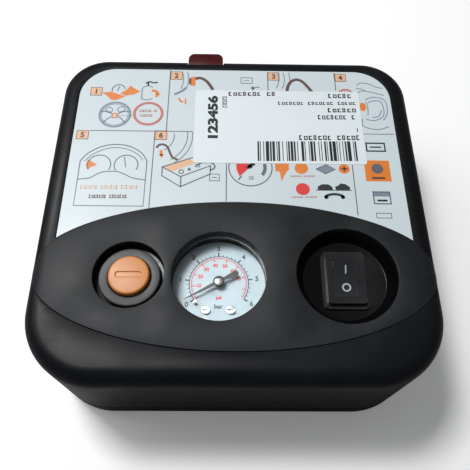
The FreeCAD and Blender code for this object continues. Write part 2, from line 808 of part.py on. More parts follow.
def make_gauge_movement():
    # two brass plates on pillars, under the dial
    upper = block("movement_upper", "gauge_x - 7", "gauge_y - 14", "dial_top - dial_thick - 1.2", "14",
                  "22", "1.2")
    lower = block("movement_lower", "gauge_x - 7", "gauge_y - 14", "sector_level - 3", "14", "22", "1.2")
    pillars = []
    bores = [bar("movement_bore", "arbor_radius + run_gap", "20", "gauge_x", "gauge_y",
                 "sector_level - 6")]
    for index, (x, y) in enumerate((("gauge_x - 6", "gauge_y + 7"), ("gauge_x + 6", "gauge_y + 7"))):
        pillars.append(bar(f"pillar_{index}", "0.9", "dial_top - dial_thick - sector_level + 2", x, y,
                           "sector_level - 3"))
    base = bar("movement_foot", "3", "sector_level - 1.8 - gauge_bottom - 1.6", "gauge_x - 1", "gauge_y",
               "gauge_bottom + 1.6")
    for name, sign in (("left", -1), ("right", 1)):
        bores.append(bar(f"movement_tap_{name}", "0.8", "4", f"gauge_x + {sign} * dial_screw_x",
                         "gauge_y + dial_screw_y", "dial_top - 3"))
    pivot_y = "gauge_y - sector_radius - arbor_pinion_radius"
    pivot = bar("sector_pivot_bore", "0.65 + run_gap", "20", "gauge_x", pivot_y, "sector_level - 6")
    keep(cut("gauge_movement_cut", fuse("movement_solid", upper, lower, base, *pillars), pivot, *bores),
         "gauge_movement")
    arc = doc.addObject("Part::Torus", "bourdon_arc")
    bind(arc, {"Radius1": "gauge_inner - 4", "Radius2": "1.6"})
    arc.Angle3 = 260
    settle(arc, "gauge_x", "gauge_y", "gauge_bottom + 5")
    keep(arc, "bourdon_tube")
    # toothed sector, its arm over a pivot in front of the arbor
    module = 2 * size("arbor_pinion_radius") / 12
    # eleven teeth of a ring of sixty: at rest the last but one faces the arbor, at +Y
    face = gear_face(60, module, 0.08, first_angle=90 - 9 * 6, count=11, hub=1.6)
    sector = face.extrude(Vector(0, 0, size("sector_thick")))
    plate = made("sector_plate", sector)
    pivot_place = size("gauge_y") - size("sector_radius") - size("arbor_pinion_radius")
    plate.Placement = FreeCAD.Placement(
        Vector(size("gauge_x"), pivot_place, size("sector_level")), FreeCAD.Rotation())
    pin = bar("sector_pin", "0.65", "dial_top - dial_thick - sector_level + 2.9", "gauge_x", pivot_y,
              "sector_level - 3")
    keep(fuse("gauge_sector_solid", plate, pin), "gauge_sector")
    pinion_face = gear_face(12, module, 0.08, first_angle=-90 + 15)
    pinion = made("arbor_pinion", pinion_face.extrude(Vector(0, 0, size("sector_thick") + 1)))
    pinion.Placement = FreeCAD.Placement(
        Vector(size("gauge_x"), size("gauge_y"), size("sector_level") - 0.5), FreeCAD.Rotation())
    shaft = bar("arbor_shaft", "arbor_radius", "needle_level - sector_level + 3", "gauge_x", "gauge_y",
                "sector_level - 3")
    keep(fuse("gauge_arbor_solid", shaft, pinion), "gauge_arbor")


def make_needle():
    level = size("needle_level")
    length = size("needle_length")
    tail = size("needle_tail")
    outline = [
        Vector(length, 0.0, 0),
        Vector(1.6, 0.75, 0),
        Vector(-tail + 2.5, 0.75, 0),
        Vector(-tail, 1.5, 0),
        Vector(-tail, -1.5, 0),
        Vector(-tail + 2.5, -0.75, 0),
        Vector(1.6, -0.75, 0),
    ]
    blade = Part.Face(Part.makePolygon(outline + outline[:1]))
    pointer = made("needle_blade", blade.extrude(Vector(0, 0, size("needle_thick"))))
    pointer.Placement = FreeCAD.Placement(
        Vector(size("gauge_x"), size("gauge_y"), level),
        FreeCAD.Rotation(Vector(0, 0, 1), size("needle_rest")))
    hub = bar("needle_hub_disc", "needle_hub", "0.9", "gauge_x", "gauge_y", "needle_level")
    keep(fuse("gauge_needle_solid", pointer, hub), "gauge_needle")


# --- rocker switch ----------------------------------------------------------------------------

def centred_block(name, half_x, half_y, bottom, height, x="switch_x", y="switch_y"):
    return block(name, f"{x} - ({half_x})", f"{y} - ({half_y})", bottom, f"2 * ({half_x})",
                 f"2 * ({half_y})", height)


def make_switch():
    rim = centred_block("switch_rim", "rim_half_x", "rim_half_y", "dish_floor", "rim_thick")
    frame = centred_block("switch_frame_block", "frame_half_x", "frame_half_y", "dish_floor",
                          "frame_top - dish_floor")
    box = centred_block("switch_box", "box_half_x", "box_half_y", "box_bottom", "dish_floor - box_bottom")
    well = centred_block("switch_well", "rocker_half_x + rocker_gap / 2", "rocker_half_y + 2 * rocker_gap",
                         "rocker_well", "20")
    eyes = bar("switch_eyes", "rocker_pin + run_gap", "2 * rocker_half_x + 2.4",
               "switch_x - rocker_half_x - 1.2", "switch_y", "frame_top - 1.2", "x")
    keep(cut("switch_frame_cut", fuse("switch_frame_solid", rim, frame, box), well, eyes), "switch_frame")
    blades = []
    for index, y in enumerate(("switch_y - 6", "switch_y", "switch_y + 6")):
        blades.append(block(f"terminal_{index}", "switch_x - 2.4", f"{y} - 0.4", "box_bottom - 8", "4.8",
                            "0.8", "8"))
    keep(group("switch_terminals_group", *blades), "switch_terminals")


def make_rocker():
    body = doc.addObject("PartDesign::Body", "rocker_body")
    sketch = new_sketch(body, "rocker_profile", "YZ_Plane")
    half = value_of("rocker_half_y")
    end = value_of("rocker_end")
    middle = value_of("rocker_middle")
    depth = value_of("rocker_depth")
    corners = [(-half, end), (0, middle), (half, end), (half, -0.5), (half - 1.6, -depth),
               (-half + 1.6, -depth), (-half, -0.5)]
    for index, start in enumerate(corners):
        stop = corners[(index + 1) % len(corners)]
        sketch.addGeometry(Part.LineSegment(Vector(*start, 0), Vector(*stop, 0)))
    for index in range(len(corners)):
        sketch.addConstraint(
            Sketcher.Constraint("Coincident", index, 2, (index + 1) % len(corners), 1))
    places = {0: ("-rocker_half_y", "rocker_end"), 1: ("0", "rocker_middle"),
              2: ("rocker_half_y", "rocker_end"), 3: ("rocker_half_y", "-0.5"),
              4: ("rocker_half_y - 1.6", "-rocker_depth"), 5: ("-rocker_half_y + 1.6", "-rocker_depth"),
              6: ("-rocker_half_y", "-0.5")}
    for index, (across, up) in places.items():
        if across == "0":
            sketch.addConstraint(Sketcher.Constraint("PointOnObject", index, 1, -2))
        else:
            name_dimension(sketch, "DistanceX", index, 1, f"across_{index}", across)
        name_dimension(sketch, "DistanceY", index, 1, f"up_{index}", up)
    pad = body.newObject("PartDesign::Pad", "rocker_pad")
    pad.Profile = sketch
    pad.Midplane = True
    bind(pad, {"Length": "2 * rocker_half_x"})
    doc.recompute()
    pins = bar("rocker_pins", "rocker_pin", "2 * rocker_half_x + 2", "-rocker_half_x - 1", "0", "0", "x")
    whole = fuse("switch_rocker_solid", body, pins)
    whole.Placement = FreeCAD.Placement(Vector(), FreeCAD.Rotation(Vector(1, 0, 0), size("rocker_tilt")))
    bind(whole, {"Placement.Base.x": "switch_x", "Placement.Base.y": "switch_y",
                 "Placement.Base.z": "frame_top - 1.2"})
    keep(whole, "switch_rocker")


# --- motor and gears --------------------------------------------------------------------------

def motor_bar(name, radius, length, start):
    return bar(name, radius, length, start, "motor_y", "motor_z", "x")


def make_motor():
    can_length = "motor_right - motor_left - end_cap_length"
    can = motor_bar("can_outside", "motor_radius", can_length, "motor_left + end_cap_length")
    hollow = motor_bar("can_hollow", "motor_radius - motor_wall", f"{can_length} - 1.6",
                       "motor_left + end_cap_length")
    eye = motor_bar("can_eye", "bearing_radius", "10", "motor_right - 5")
    taps = []
    for index, sign in enumerate((-1, 1)):
        taps.append(bar(f"can_tap_{index}", "1.3", "10", "motor_right - 5", "motor_y",
                        f"motor_z + {sign} * 10", "x"))
    keep(cut("motor_can_cut", can, hollow, eye, *taps), "motor_can")
    cap = motor_bar("end_cap_disc", "motor_radius", "end_cap_length", "motor_left")
    cap_hollow = motor_bar("end_cap_hollow", "motor_radius - 3", "end_cap_length - 2.5",
                           "motor_left + 2.5")
    cap_eye = motor_bar("end_cap_eye", "bearing_radius", "10", "motor_left - 1")
    tabs = []
    for index, sign in enumerate((-1, 1)):
        tabs.append(block(f"motor_tab_{index}", "motor_left - 6", f"motor_y + {sign} * 12 - 2.4",
                          "motor_z - 0.4", "6", "4.8", "0.8"))
    keep(cut("motor_end_cap_cut", cap, cap_hollow, cap_eye), "motor_end_cap")
    keep(group("motor_terminals_group", *tabs), "motor_terminals")
    bushes = [
        sleeve("bush_left", "bearing_radius", "shaft_radius + run_gap", "3", "motor_left - 0.5",
               "motor_y", "motor_z", "x"),
        sleeve("bush_right", "bearing_radius", "shaft_radius + run_gap", "3", "motor_right - 1.6",
               "motor_y", "motor_z", "x"),
    ]
    keep(group("motor_bearings_group", *bushes), "motor_bearings")
    magnet_ring = sleeve("magnet_ring", "motor_radius - motor_wall - 0.05",
                         "motor_radius - motor_wall - magnet_thick", "34",
                         "motor_left + end_cap_length + 5", "motor_y", "motor_z", "x")
    gaps = block("magnet_gaps", "motor_left", "motor_y - 5", "motor_z - 25", "60", "10", "50")
    keep(cut("motor_magnets_cut", magnet_ring, gaps), "motor_magnets")


def make_rotor():
    keep(motor_bar("motor_shaft_bar", "shaft_radius", "gear_left + gear_width + 1 - motor_left",
                   "motor_left - 0.4"), "motor_shaft")
    core = sleeve("armature_core", "armature_radius", "shaft_radius", "30",
                  "motor_left + end_cap_length + 7", "motor_y", "motor_z", "x")
    notches = []
    for index in range(5):
        angle = math.radians(90 + 72 * index)
        notches.append(bar(f"armature_notch_{index}", "2.2", "40", "motor_left + end_cap_length",
                           f"motor_y + {11.6 * math.cos(angle):.3f}",
                           f"motor_z + {11.6 * math.sin(angle):.3f}", "x"))
    keep(cut("motor_armature_cut", core, *notches), "motor_armature")
    keep(sleeve("commutator_ring", "5", "shaft_radius", "9", "motor_left + 4", "motor_y", "motor_z", "x"),
         "motor_commutator")
    face = gear_face(int(size("pinion_teeth")), size("gear_module"), 0.16,
                     first_angle=180 + 180 / size("pinion_teeth"))
    hole = Part.Face(Part.Wire(Part.Circle(Vector(), Vector(0, 0, 1), size("shaft_radius")).toShape()))
    pinion = face.cut(hole).extrude(Vector(0, 0, size("gear_width")))
    item = made("motor_pinion_teeth", pinion)
    item.Placement = FreeCAD.Placement(
        Vector(size("gear_left"), size("motor_y"), size("motor_z")),
        ACROSS)
    keep(item, "motor_pinion")


def make_crank():
    face = gear_face(int(size("crank_teeth")), size("gear_module"), 0.16)
    hole_radius = size("axle_radius") + size("run_gap")
    hole = Part.Face(Part.Wire(Part.Circle(Vector(), Vector(0, 0, 1), hole_radius).toShape()))
    wheel = face.cut(hole).extrude(Vector(0, 0, size("gear_width")))
    item = made("crank_wheel", wheel)
    item.Placement = FreeCAD.Placement(
        Vector(size("gear_left"), size("crank_y"), size("motor_z")),
        ACROSS)
    web = cut(
        "crank_web_half",
        bar("crank_web_disc", "crank_radius + 6", "crank_web - gear_left - gear_width",
            "gear_left + gear_width", "crank_y", "motor_z", "x"),
        bar("crank_web_bore", "axle_radius + run_gap", "20", "-5", "crank_y", "motor_z", "x"),
    )
    keep(fuse("crank_gear_solid", item, web), "crank_gear")
    keep(bar("crank_axle_bar", "axle_radius", "crank_web - plate_left - 0.2", "plate_left", "crank_y",
             "motor_z", "x"), "crank_axle")


def make_gear_frame():
    plate = block("frame_plate", "plate_left", "-10", "body_bottom + wall_thick + 0.1", "plate_thick",
                  "69", "42")
    foot = block("frame_foot", "plate_left - 14", "-10", "body_bottom + wall_thick + 0.1", "14", "69",
                 "2.4")
    boss = bar("frame_axle_boss", "axle_radius + 3", "plate_thick", "plate_left", "crank_y", "motor_z",
               "x")
    axle_hole = bar("frame_axle_hole", "axle_radius", "10", "plate_left - 3", "crank_y", "motor_z", "x")
    motor_hole = bar("frame_motor_hole", "bearing_radius + 3", "10", "plate_left - 3", "motor_y",
                     "motor_z", "x")
    taps = []
    screws = []
    for index, sign in enumerate((-1, 1)):
        z = f"motor_z + {sign} * 10"
        taps.append(bar(f"frame_tap_{index}", "1.35", "10", "plate_left - 3", "motor_y", z, "x"))
        head = bar(f"motor_screw_head_{index}", "2.4", "1", "plate_left + plate_thick", "motor_y", z, "x")
        shank = bar(f"motor_screw_shank_{index}", "1.25", "plate_thick + 1.4", "plate_left - 1.4",
                    "motor_y", z, "x")
        screws.append(fuse(f"motor_screw_{index}", head, shank))
    motor_bed = bar("frame_motor_bed", "motor_radius + 0.1", "30", "plate_left - 30", "motor_y",
                    "motor_z", "x")
    keep(cut("gear_frame_cut", fuse("gear_frame_solid", plate, foot, boss), axle_hole, motor_hole,
             motor_bed, *taps), "gear_frame")
    keep(group("motor_screws_group", *screws), "motor_screws")


# --- piston and cylinder ----------------------------------------------------------------------

def bore_bar(name, radius, length, start):
    return bar(name, radius, length, "bore_x", start, "motor_z", "y")


def make_cylinder():
    barrel = bore_bar("barrel", "barrel_radius", "barrel_back - barrel_front", "barrel_front")
    fins = []
    for index in range(int(size("fin_count"))):
        fins.append(bore_bar(f"fin_{index}", "fin_radius", "1.4", f"barrel_front + 4 + {index} * 4.2"))
    flange = block("barrel_flange", "plate_left + plate_thick", "barrel_back - 4", "motor_z - 14",
                   "bore_x - plate_left - plate_thick + 14", "4", "28")
    bore = bore_bar("barrel_bore", "bore_radius", "60", "barrel_front - 5")
    keep(cut("cylinder_cut", fuse("cylinder_solid", barrel, flange, *fins), bore), "cylinder")
    cover = block("head_block", "bore_x - 13", "barrel_back", "motor_z - 13", "26", "head_thick", "26")
    chamber = bore_bar("head_chamber", "5", "head_thick - 3", "barrel_back + 1.5")
    seat = bore_bar("head_seat", "1.6", "4", "barrel_back - 1")
    outlet = bar("head_outlet", "barb_radius", "9.3", "bore_x + 8", "barrel_back + head_thick / 2",
                 "motor_z", "x")
    passage = bar("head_passage", "1.1", "30", "bore_x", "barrel_back + head_thick / 2", "motor_z", "x")
    holes = []
    screws = []
    for index, (dx, dz) in enumerate(((-10.6, -10.6), (10.6, -10.6), (-10.6, 10.6), (10.6, 10.6))):
        x, z = f"bore_x + {dx}", f"motor_z + {dz}"
        holes.append(bar(f"head_hole_{index}", "1.3", "20", x, "barrel_back - 2", z, "y"))
        shank = bar(f"head_screw_shank_{index}", "1.2", "head_thick", x, "barrel_back", z, "y")
        head = bar(f"head_screw_head_{index}", "2.2", "1.2", x, "barrel_back + head_thick", z, "y")
        screws.append(fuse(f"head_screw_{index}", shank, head))
    keep(cut("cylinder_head_cut", fuse("head_solid", cover, outlet), chamber, seat, passage, *holes),
         "cylinder_head")
    keep(group("head_screws_group", *screws), "head_screws")
    keep(bore_bar("check_valve_disc", "3.2", "1", "barrel_back + 1.5"), "check_valve")


def make_piston():
    wrist_y = "crank_y + crank_radius + rod_length"
    skirt = bore_bar("piston_bar", "piston_radius", "piston_skirt + piston_crown",
                     f"{wrist_y} - piston_skirt")
    slot = block("piston_slot", "bore_x - rod_width / 2 - 0.4", f"{wrist_y} - piston_skirt - 1",
                 "motor_z - 7", "rod_width + 0.8", "piston_skirt + 5.5", "14")
    pin_hole = bar("piston_pin_hole", "wrist_pin + 0.02", "30", "bore_x - 15", wrist_y, "motor_z", "x")
    groove = cut(
        "piston_groove",
        bore_bar("piston_groove_out", "piston_radius + 1", "1.6", f"{wrist_y} + 4"),
        bore_bar("piston_groove_in", "piston_radius - 1.2", "1.6", f"{wrist_y} + 4"),
    )
    keep(cut("piston_cut", skirt, slot, pin_hole, groove), "piston")
    keep(sleeve("piston_seal_ring", "bore_radius - 0.03", "piston_radius - 1.2", "1.5", "bore_x",
                f"{wrist_y} + 4.05", "motor_z", "y"), "piston_seal")
    keep(bar("wrist_pin_bar", "wrist_pin", "2 * piston_radius - 3", "bore_x - piston_radius + 1.5",
             wrist_y, "motor_z", "x"), "wrist_pin")


def make_connecting_rod():
    left = "bore_x - rod_width / 2"
    big_y = "crank_y + crank_radius"
    small_y = "crank_y + crank_radius + rod_length"
    big = bar("rod_big_end", "crank_pin + 2.6", "rod_width", left, big_y, "motor_z", "x")
    small = bar("rod_small_end", "wrist_pin + 1.8", "rod_width", left, small_y, "motor_z", "x")
    beam = block("rod_beam", left, big_y, "motor_z - 2", "rod_width", "rod_length", "4")
    flute = block("rod_flute", "bore_x + 1.3", f"{big_y} + 6", "motor_z - 1", "5", "rod_length - 12", "2")
    big_eye = bar("rod_big_eye", "crank_pin", "20", "bore_x - 10", big_y, "motor_z", "x")
    small_eye = bar("rod_small_eye", "wrist_pin + run_gap", "20", "bore_x - 10", small_y, "motor_z", "x")
    keep(cut("connecting_rod_cut", fuse("rod_solid", big, small, beam), flute, big_eye, small_eye),
         "connecting_rod")
    shank = bar("crank_pin_shank", "crank_pin", "bore_x + rod_width / 2 - crank_web - 0.3",
                "crank_web + 0.3", big_y, "motor_z", "x")
    head = bar("crank_pin_head", "crank_pin + 1", "1", "bore_x + rod_width / 2", big_y, "motor_z", "x")
    keep(fuse("crank_pin_solid", shank, head), "crank_pin")


# --- air lines, leads and outlets -------------------------------------------------------------

def tube_along(points, radius, bend, bore=0.0):
    """A tube on straight runs joined by tangent arcs."""
    nodes = [Vector(*point) for point in points]
    edges = []
    start = nodes[0]
    for before, corner, after in zip(nodes, nodes[1:], nodes[2:]):
        come = (corner - before).normalize()
        leave = (after - corner).normalize()
        turn = come.getAngle(leave)
        reach = bend * math.tan(turn / 2)
        first = corner - come * reach
        last = corner + leave * reach
        inward = (leave - come).normalize()
        sagitta = bend * (1 / math.cos(turn / 2) - 1)
        edges.append(Part.LineSegment(start, first).toShape())
        edges.append(Part.Arc(first, corner + inward * sagitta, last).toShape())
        start = last
    edges.append(Part.LineSegment(start, nodes[-1]).toShape())
    path = Part.Wire(edges)
    heading = (nodes[1] - nodes[0]).normalize()
    outside = Part.Wire(Part.Circle(nodes[0], heading, radius).toShape())
    tube = path.makePipeShell([outside], True, True)
    if bore:
        inside = Part.Wire(Part.Circle(nodes[0], heading, bore).toShape())
        tube = tube.cut(path.makePipeShell([inside], True, True))
    return tube


def make_air_lines():
    hose = size("barb_radius") + 1.3
    bore = size("barb_radius") + 0.02
    port_x, port_z = size("port_x"), size("port_z")
    head_y = size("barrel_back") + size("head_thick") / 2
    low = size("gauge_port_low") + 3.5
    gauge_x, gauge_y = size("gauge_x"), size("gauge_y")
    # manifold behind the back wall: air from the cylinder, to the gauge and to the outlet
    core = block("manifold_block", "port_x - manifold_half", "manifold_front", "port_z - manifold_half",
                 "2 * manifold_half", "body_back - wall_thick - 0.1 - manifold_front",
                 "2 * manifold_half")
    supply = bar("manifold_supply", "barb_radius", "8", "port_x - manifold_half - 4.3",
                 "barrel_back + head_thick / 2", "port_z", "x")
    branch = bar("manifold_branch", "barb_radius", "barb_length + 1", "port_x",
                 "manifold_front - barb_length", "port_z", "y")
    socket = bar("manifold_socket", "port_radius - 1.1 + 0.02", "20", "port_x", "body_back - 9", "port_z",
                 "y")
    supply_bore = bar("manifold_supply_bore", "1.1", "11", "port_x - manifold_half - 5",
                      "barrel_back + head_thick / 2", "port_z", "x")
    branch_bore = bar("manifold_branch_bore", "1.1", "barb_length + 10", "port_x",
                      "manifold_front - barb_length - 1", "port_z", "y")
    keep(cut("air_manifold_cut", fuse("air_manifold_solid", core, supply, branch), socket, supply_bore,
             branch_bore), "air_manifold")
    turn_y = gauge_y + 22
    route = [
        (gauge_x, gauge_y + size("gauge_port") + 1, low),
        (gauge_x, turn_y, low),
        (port_x, turn_y, low),
        (port_x, size("manifold_front") - 0.5, port_z),
    ]
    keep(made("gauge_hose_tube", tube_along(route, hose, 8, bore)), "gauge_hose")
    keep(sleeve("supply_hose_tube", "barb_radius + 1.3", "barb_radius + 0.02", "8.6", "bore_x + 13.2",
                "barrel_back + head_thick / 2", "motor_z", "x"), "supply_hose")
    keep(sleeve("bleed_hose_tube", "barb_radius + 1.3", "barb_radius + 0.02",
                "gauge_x - gauge_port - button_x - valve_radius - 1", "button_x + valve_radius + 0.5",
                "button_y", "valve_bottom + 3.5", "x"), "bleed_hose")


def make_outlet_port():
    flange = bar("port_flange", "port_radius + 2", "1.4", "port_x", "body_back", "port_z", "y")
    neck = bar("port_neck", "port_radius", "port_reach", "port_x", "body_back", "port_z", "y")
    trunk = bar("port_trunk", "port_radius - 1.1", "9", "port_x", "body_back - 9", "port_z", "y")
    bore = bar("port_bore_cut", "port_bore", "6", "port_x", "body_back + port_reach - 6", "port_z", "y")
    passage = bar("port_passage", "1.1", "30", "port_x", "body_back - 20", "port_z", "y")
    keep(cut("outlet_port_cut", fuse("outlet_port_solid", flange, neck, trunk), bore, passage),
         "outlet_port")
    gland = fuse(
        "gland_solid",
        bar("gland_flange", "port_radius", "2", "gland_x", "body_back", "gland_z", "y"),
        taper("gland_nose", "port_radius - 0.6", "port_radius - 1.4", "2.4", "gland_x", "body_back + 2",
              "gland_z", "y"),
        bar("gland_trunk", "port_radius - 1.1", "3", "gland_x", "body_back - 3", "gland_z", "y"),
        bar("gland_collar", "port_radius - 0.2", "1.4", "gland_x", "body_back - wall_thick - 1.5",
            "gland_z", "y"),
    )
    hole = bar("gland_hole_cut", "2.2", "20", "gland_x", "body_back - 8", "gland_z", "y")
    keep(cut("cord_gland_cut", gland, hole), "cord_gland")


def make_lead():
    # from the motor's front terminal, over the floor of the case, to the switch
    tab_x = size("motor_left") - 5
    tab_y = size("motor_y") - 12
    low = size("body_bottom") + size("wall_thick") + 3
    switch_x, blade_y = size("switch_x"), size("switch_y") + 6
    route = [
        (tab_x - 1, tab_y, size("motor_z") - 1.5),
        (tab_x - 1, tab_y, low + 5),
        (tab_x + 6, -13, low),
        (22, -14, low),
        (switch_x, blade_y, low + 3),
        (switch_x, blade_y, size("box_bottom") - 8.1),
    ]
    keep(made("motor_lead_wire", tube_along(route, 1.1, 4)), "motor_lead_red")


# --- rear catch -------------------------------------------------------------------------------

def make_catch():
    left = "catch_x - catch_half"
    inner = "body_back - catch_depth + 0.9"
    plate = block("catch_plate", left, inner, "catch_low", "2 * catch_half", "catch_depth - 0.3",
                  "catch_top - catch_low")
    tab = slab(
        "catch_tab",
        lambda sketch: rounded_outline(sketch, "catch_x - catch_half", "catch_x + catch_half",
                                       "body_back - catch_depth + 0.9", "catch_reach", "0.4", "3"),
        "catch_top - 3.6",
        "3.6",
        "0.8",
    )
    bore = bar("catch_pin_bore", "catch_pin + run_gap", "2 * catch_half + 4", "catch_x - catch_half - 2",
               "body_back - catch_depth / 2 + 0.1", "catch_pin_z", "x")
    keep(cut("rear_catch_cut", fuse("rear_catch_solid", plate, tab), bore), "rear_catch")
    keep(bar("catch_pin_bar", "catch_pin", "2 * catch_half + 3.6", "catch_x - catch_half - 1.8",
             "body_back - catch_depth / 2 + 0.1", "catch_pin_z", "x"), "catch_pin")


make_upper_housing()
make_lower_housing()
make_fasteners_and_feet()
make_control_panel()
make_paper()
make_deflate_button()
make_bleed_valve()
make_gauge_case()
make_gauge_dial()
make_gauge_movement()
make_needle()
make_switch()
make_rocker()
make_motor()
make_rotor()
make_crank()
make_gear_frame()
make_cylinder()
make_piston()
make_connecting_rod()
make_air_lines()
make_outlet_port()
make_lead()
make_catch()

doc.recompute()
for item in doc.Objects:
    if "Invalid" in item.State or "Error" in item.State:
        raise RuntimeError(f"{item.Name} did not build: {item.State}")
for item in pieces:
    if item.Shape.isNull() or not item.Shape.isValid() or not item.Shape.Solids:
        raise RuntimeError(f"{item.Label} has no valid solid")

os.makedirs("parts", exist_ok=True)
for item in pieces:
    item.Shape.exportStep(f"parts/{item.Label}.step")
print(len(pieces), "nodes written")
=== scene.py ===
import math

import bmesh
import bpy
from mathutils import Matrix, Vector


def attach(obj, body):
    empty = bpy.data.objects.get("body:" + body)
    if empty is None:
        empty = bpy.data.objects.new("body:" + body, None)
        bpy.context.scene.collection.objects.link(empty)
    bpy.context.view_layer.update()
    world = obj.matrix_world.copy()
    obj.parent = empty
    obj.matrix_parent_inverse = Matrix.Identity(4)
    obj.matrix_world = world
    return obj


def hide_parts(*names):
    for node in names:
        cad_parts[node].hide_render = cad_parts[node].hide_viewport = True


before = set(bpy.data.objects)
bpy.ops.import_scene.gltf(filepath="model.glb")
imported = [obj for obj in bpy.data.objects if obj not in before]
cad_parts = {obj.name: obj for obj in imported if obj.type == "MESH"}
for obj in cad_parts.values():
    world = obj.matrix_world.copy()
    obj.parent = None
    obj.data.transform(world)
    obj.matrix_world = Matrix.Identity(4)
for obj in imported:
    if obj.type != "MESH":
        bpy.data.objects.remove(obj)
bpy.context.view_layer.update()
scene = bpy.context.scene


# --- Case shells ------------------------------------------------------------------------------
# Two injection mouldings in black ABS with a fine spark grain: a deep upper housing and a shallow
# tray that closes it from below.  Four screws go up through the tray into posts of the housing.

MM = 0.001
CASE_BLACK = (0.0045, 0.0052, 0.0066)
CASE_RUBBED = (0.050, 0.053, 0.058)
CASE_EDGE = 0.25
SHARP_EDGE = 32.0
WELD = 0.002


def link(tree, start, end):
    tree.links.new(start, end)


def add(tree, kind, sockets=(), **settings):
    """A new shader node with its settings, and the values of its unlinked sockets."""
    made = tree.nodes.new(kind)
    for name, value in settings.items():
        setattr(made, name, value)
    for name, value in dict(sockets).items():
        made.inputs[name].default_value = value
    return made


def effect(name, inputs, outputs):
    """An empty shader node group with named sockets."""
    tree = bpy.data.node_groups.new(name, "ShaderNodeTree")
    for label, kind, value in inputs:
        socket = tree.interface.new_socket(label, in_out="INPUT", socket_type=kind)
        socket.default_value = value
    for label, kind in outputs:
        tree.interface.new_socket(label, in_out="OUTPUT", socket_type=kind)
    return tree, tree.nodes.new("NodeGroupInput").outputs, tree.nodes.new("NodeGroupOutput").inputs


def math_node(tree, operation, first, second):
    """One sum on two sockets or numbers."""
    made = add(tree, "ShaderNodeMath", operation=operation)
    for socket, value in zip(made.inputs, (first, second)):
        if isinstance(value, (int, float)):
            socket.default_value = value
        else:
            link(tree, value, socket)
    return made.outputs["Value"]


def limits(tree, value, low, high, start=0.0, stop=1.0):
    """A socket's value spread from one range to another, and held there."""
    made = add(tree, "ShaderNodeMapRange", {"From Min": low, "From Max": high, "To Min": start,
                                            "To Max": stop})
    link(tree, value, made.inputs["Value"])
    return made.outputs["Result"]


def blend_colour(tree, mask, below, above):
    made = add(tree, "ShaderNodeMix", data_type="RGBA")
    link(tree, mask, made.inputs["Factor"])
    for socket, colour in ((made.inputs["A"], below), (made.inputs["B"], above)):
        if isinstance(colour, tuple):
            socket.default_value = (*colour, 1.0)
        else:
            link(tree, colour, socket)
    return made.outputs["Result"]


def noise(tree, scale, detail=2.0, stretch=None):
    """Solid noise on the piece's own coordinates, stretched where three scales are given."""
    place = add(tree, "ShaderNodeTexCoord").outputs["Object"]
    if stretch:
        mapping = add(tree, "ShaderNodeMapping", {"Scale": stretch, "Rotation": (0.2, 0.1, 0.6)})
        link(tree, place, mapping.inputs["Vector"])
        place = mapping.outputs["Vector"]
    made = add(tree, "ShaderNodeTexNoise", {"Detail": detail})
    link(tree, place, made.inputs["Vector"])
    if isinstance(scale, (int, float)):
        made.inputs["Scale"].default_value = scale
    else:
        link(tree, scale, made.inputs["Scale"])
    return made.outputs["Fac"]


COLOUR, VALUE = "NodeSocketColor", "NodeSocketFloat"

moulding, given, wanted = effect(
    "moulded_plastic",
    [("Plastic", COLOUR, (0.01, 0.01, 0.01, 1)), ("Rubbed", COLOUR, (0.05, 0.05, 0.05, 1)),
     ("Shine", VALUE, 0.4), ("Grain Scale", VALUE, 2600.0), ("Handling", VALUE, 0.5),
     ("Edge Wear", VALUE, 0.5)],
    [("Colour", COLOUR), ("Roughness", VALUE), ("Height", VALUE)],
)
grain = noise(moulding, given["Grain Scale"])
smudge = limits(moulding, noise(moulding, 34.0, 5.0), 0.47, 0.72)
streaks = limits(moulding, noise(moulding, 5.0, 3.0, (22.0, 420.0, 22.0)), 0.66, 0.72)
dust = limits(moulding, noise(moulding, 1500.0, 1.0), 0.70, 0.78)
corner = add(moulding, "ShaderNodeBevel", {"Radius": 0.7 * MM}, samples=4)
facing = add(moulding, "ShaderNodeVectorMath", operation="DOT_PRODUCT")
link(moulding, corner.outputs["Normal"], facing.inputs[0])
link(moulding, add(moulding, "ShaderNodeNewGeometry").outputs["Normal"], facing.inputs[1])
edge = limits(moulding, facing.outputs["Value"], 0.99, 0.80)
edge = math_node(moulding, "MULTIPLY", edge, limits(moulding, noise(moulding, 260.0), 0.35, 0.65))
edge = math_node(moulding, "MULTIPLY", edge, given["Edge Wear"])
marks = math_node(moulding, "MAXIMUM", math_node(moulding, "MULTIPLY", streaks, 0.22),
                  math_node(moulding, "MULTIPLY", dust, 0.35))
marks = math_node(moulding, "MAXIMUM", marks, math_node(moulding, "MULTIPLY", smudge, 0.16))
marks = math_node(moulding, "MULTIPLY", marks, given["Handling"])
marks = math_node(moulding, "MAXIMUM", marks, edge)
link(moulding, blend_colour(moulding, marks, given["Plastic"], given["Rubbed"]), wanted["Colour"])
rough = math_node(moulding, "ADD", given["Shine"],
                  math_node(moulding, "MULTIPLY", smudge, 0.12))
rough = math_node(moulding, "ADD", rough, math_node(moulding, "MULTIPLY", grain, 0.10))
link(moulding, math_node(moulding, "ADD", rough, math_node(moulding, "MULTIPLY", marks, 0.2)),
     wanted["Roughness"])
link(moulding, math_node(moulding, "SUBTRACT", grain, math_node(moulding, "MULTIPLY", streaks, 0.5)),
     wanted["Height"])


def plain_material(name):
    made = bpy.data.materials.new(name)
    made.use_nodes = True
    return made, made.node_tree, made.node_tree.nodes["Principled BSDF"]


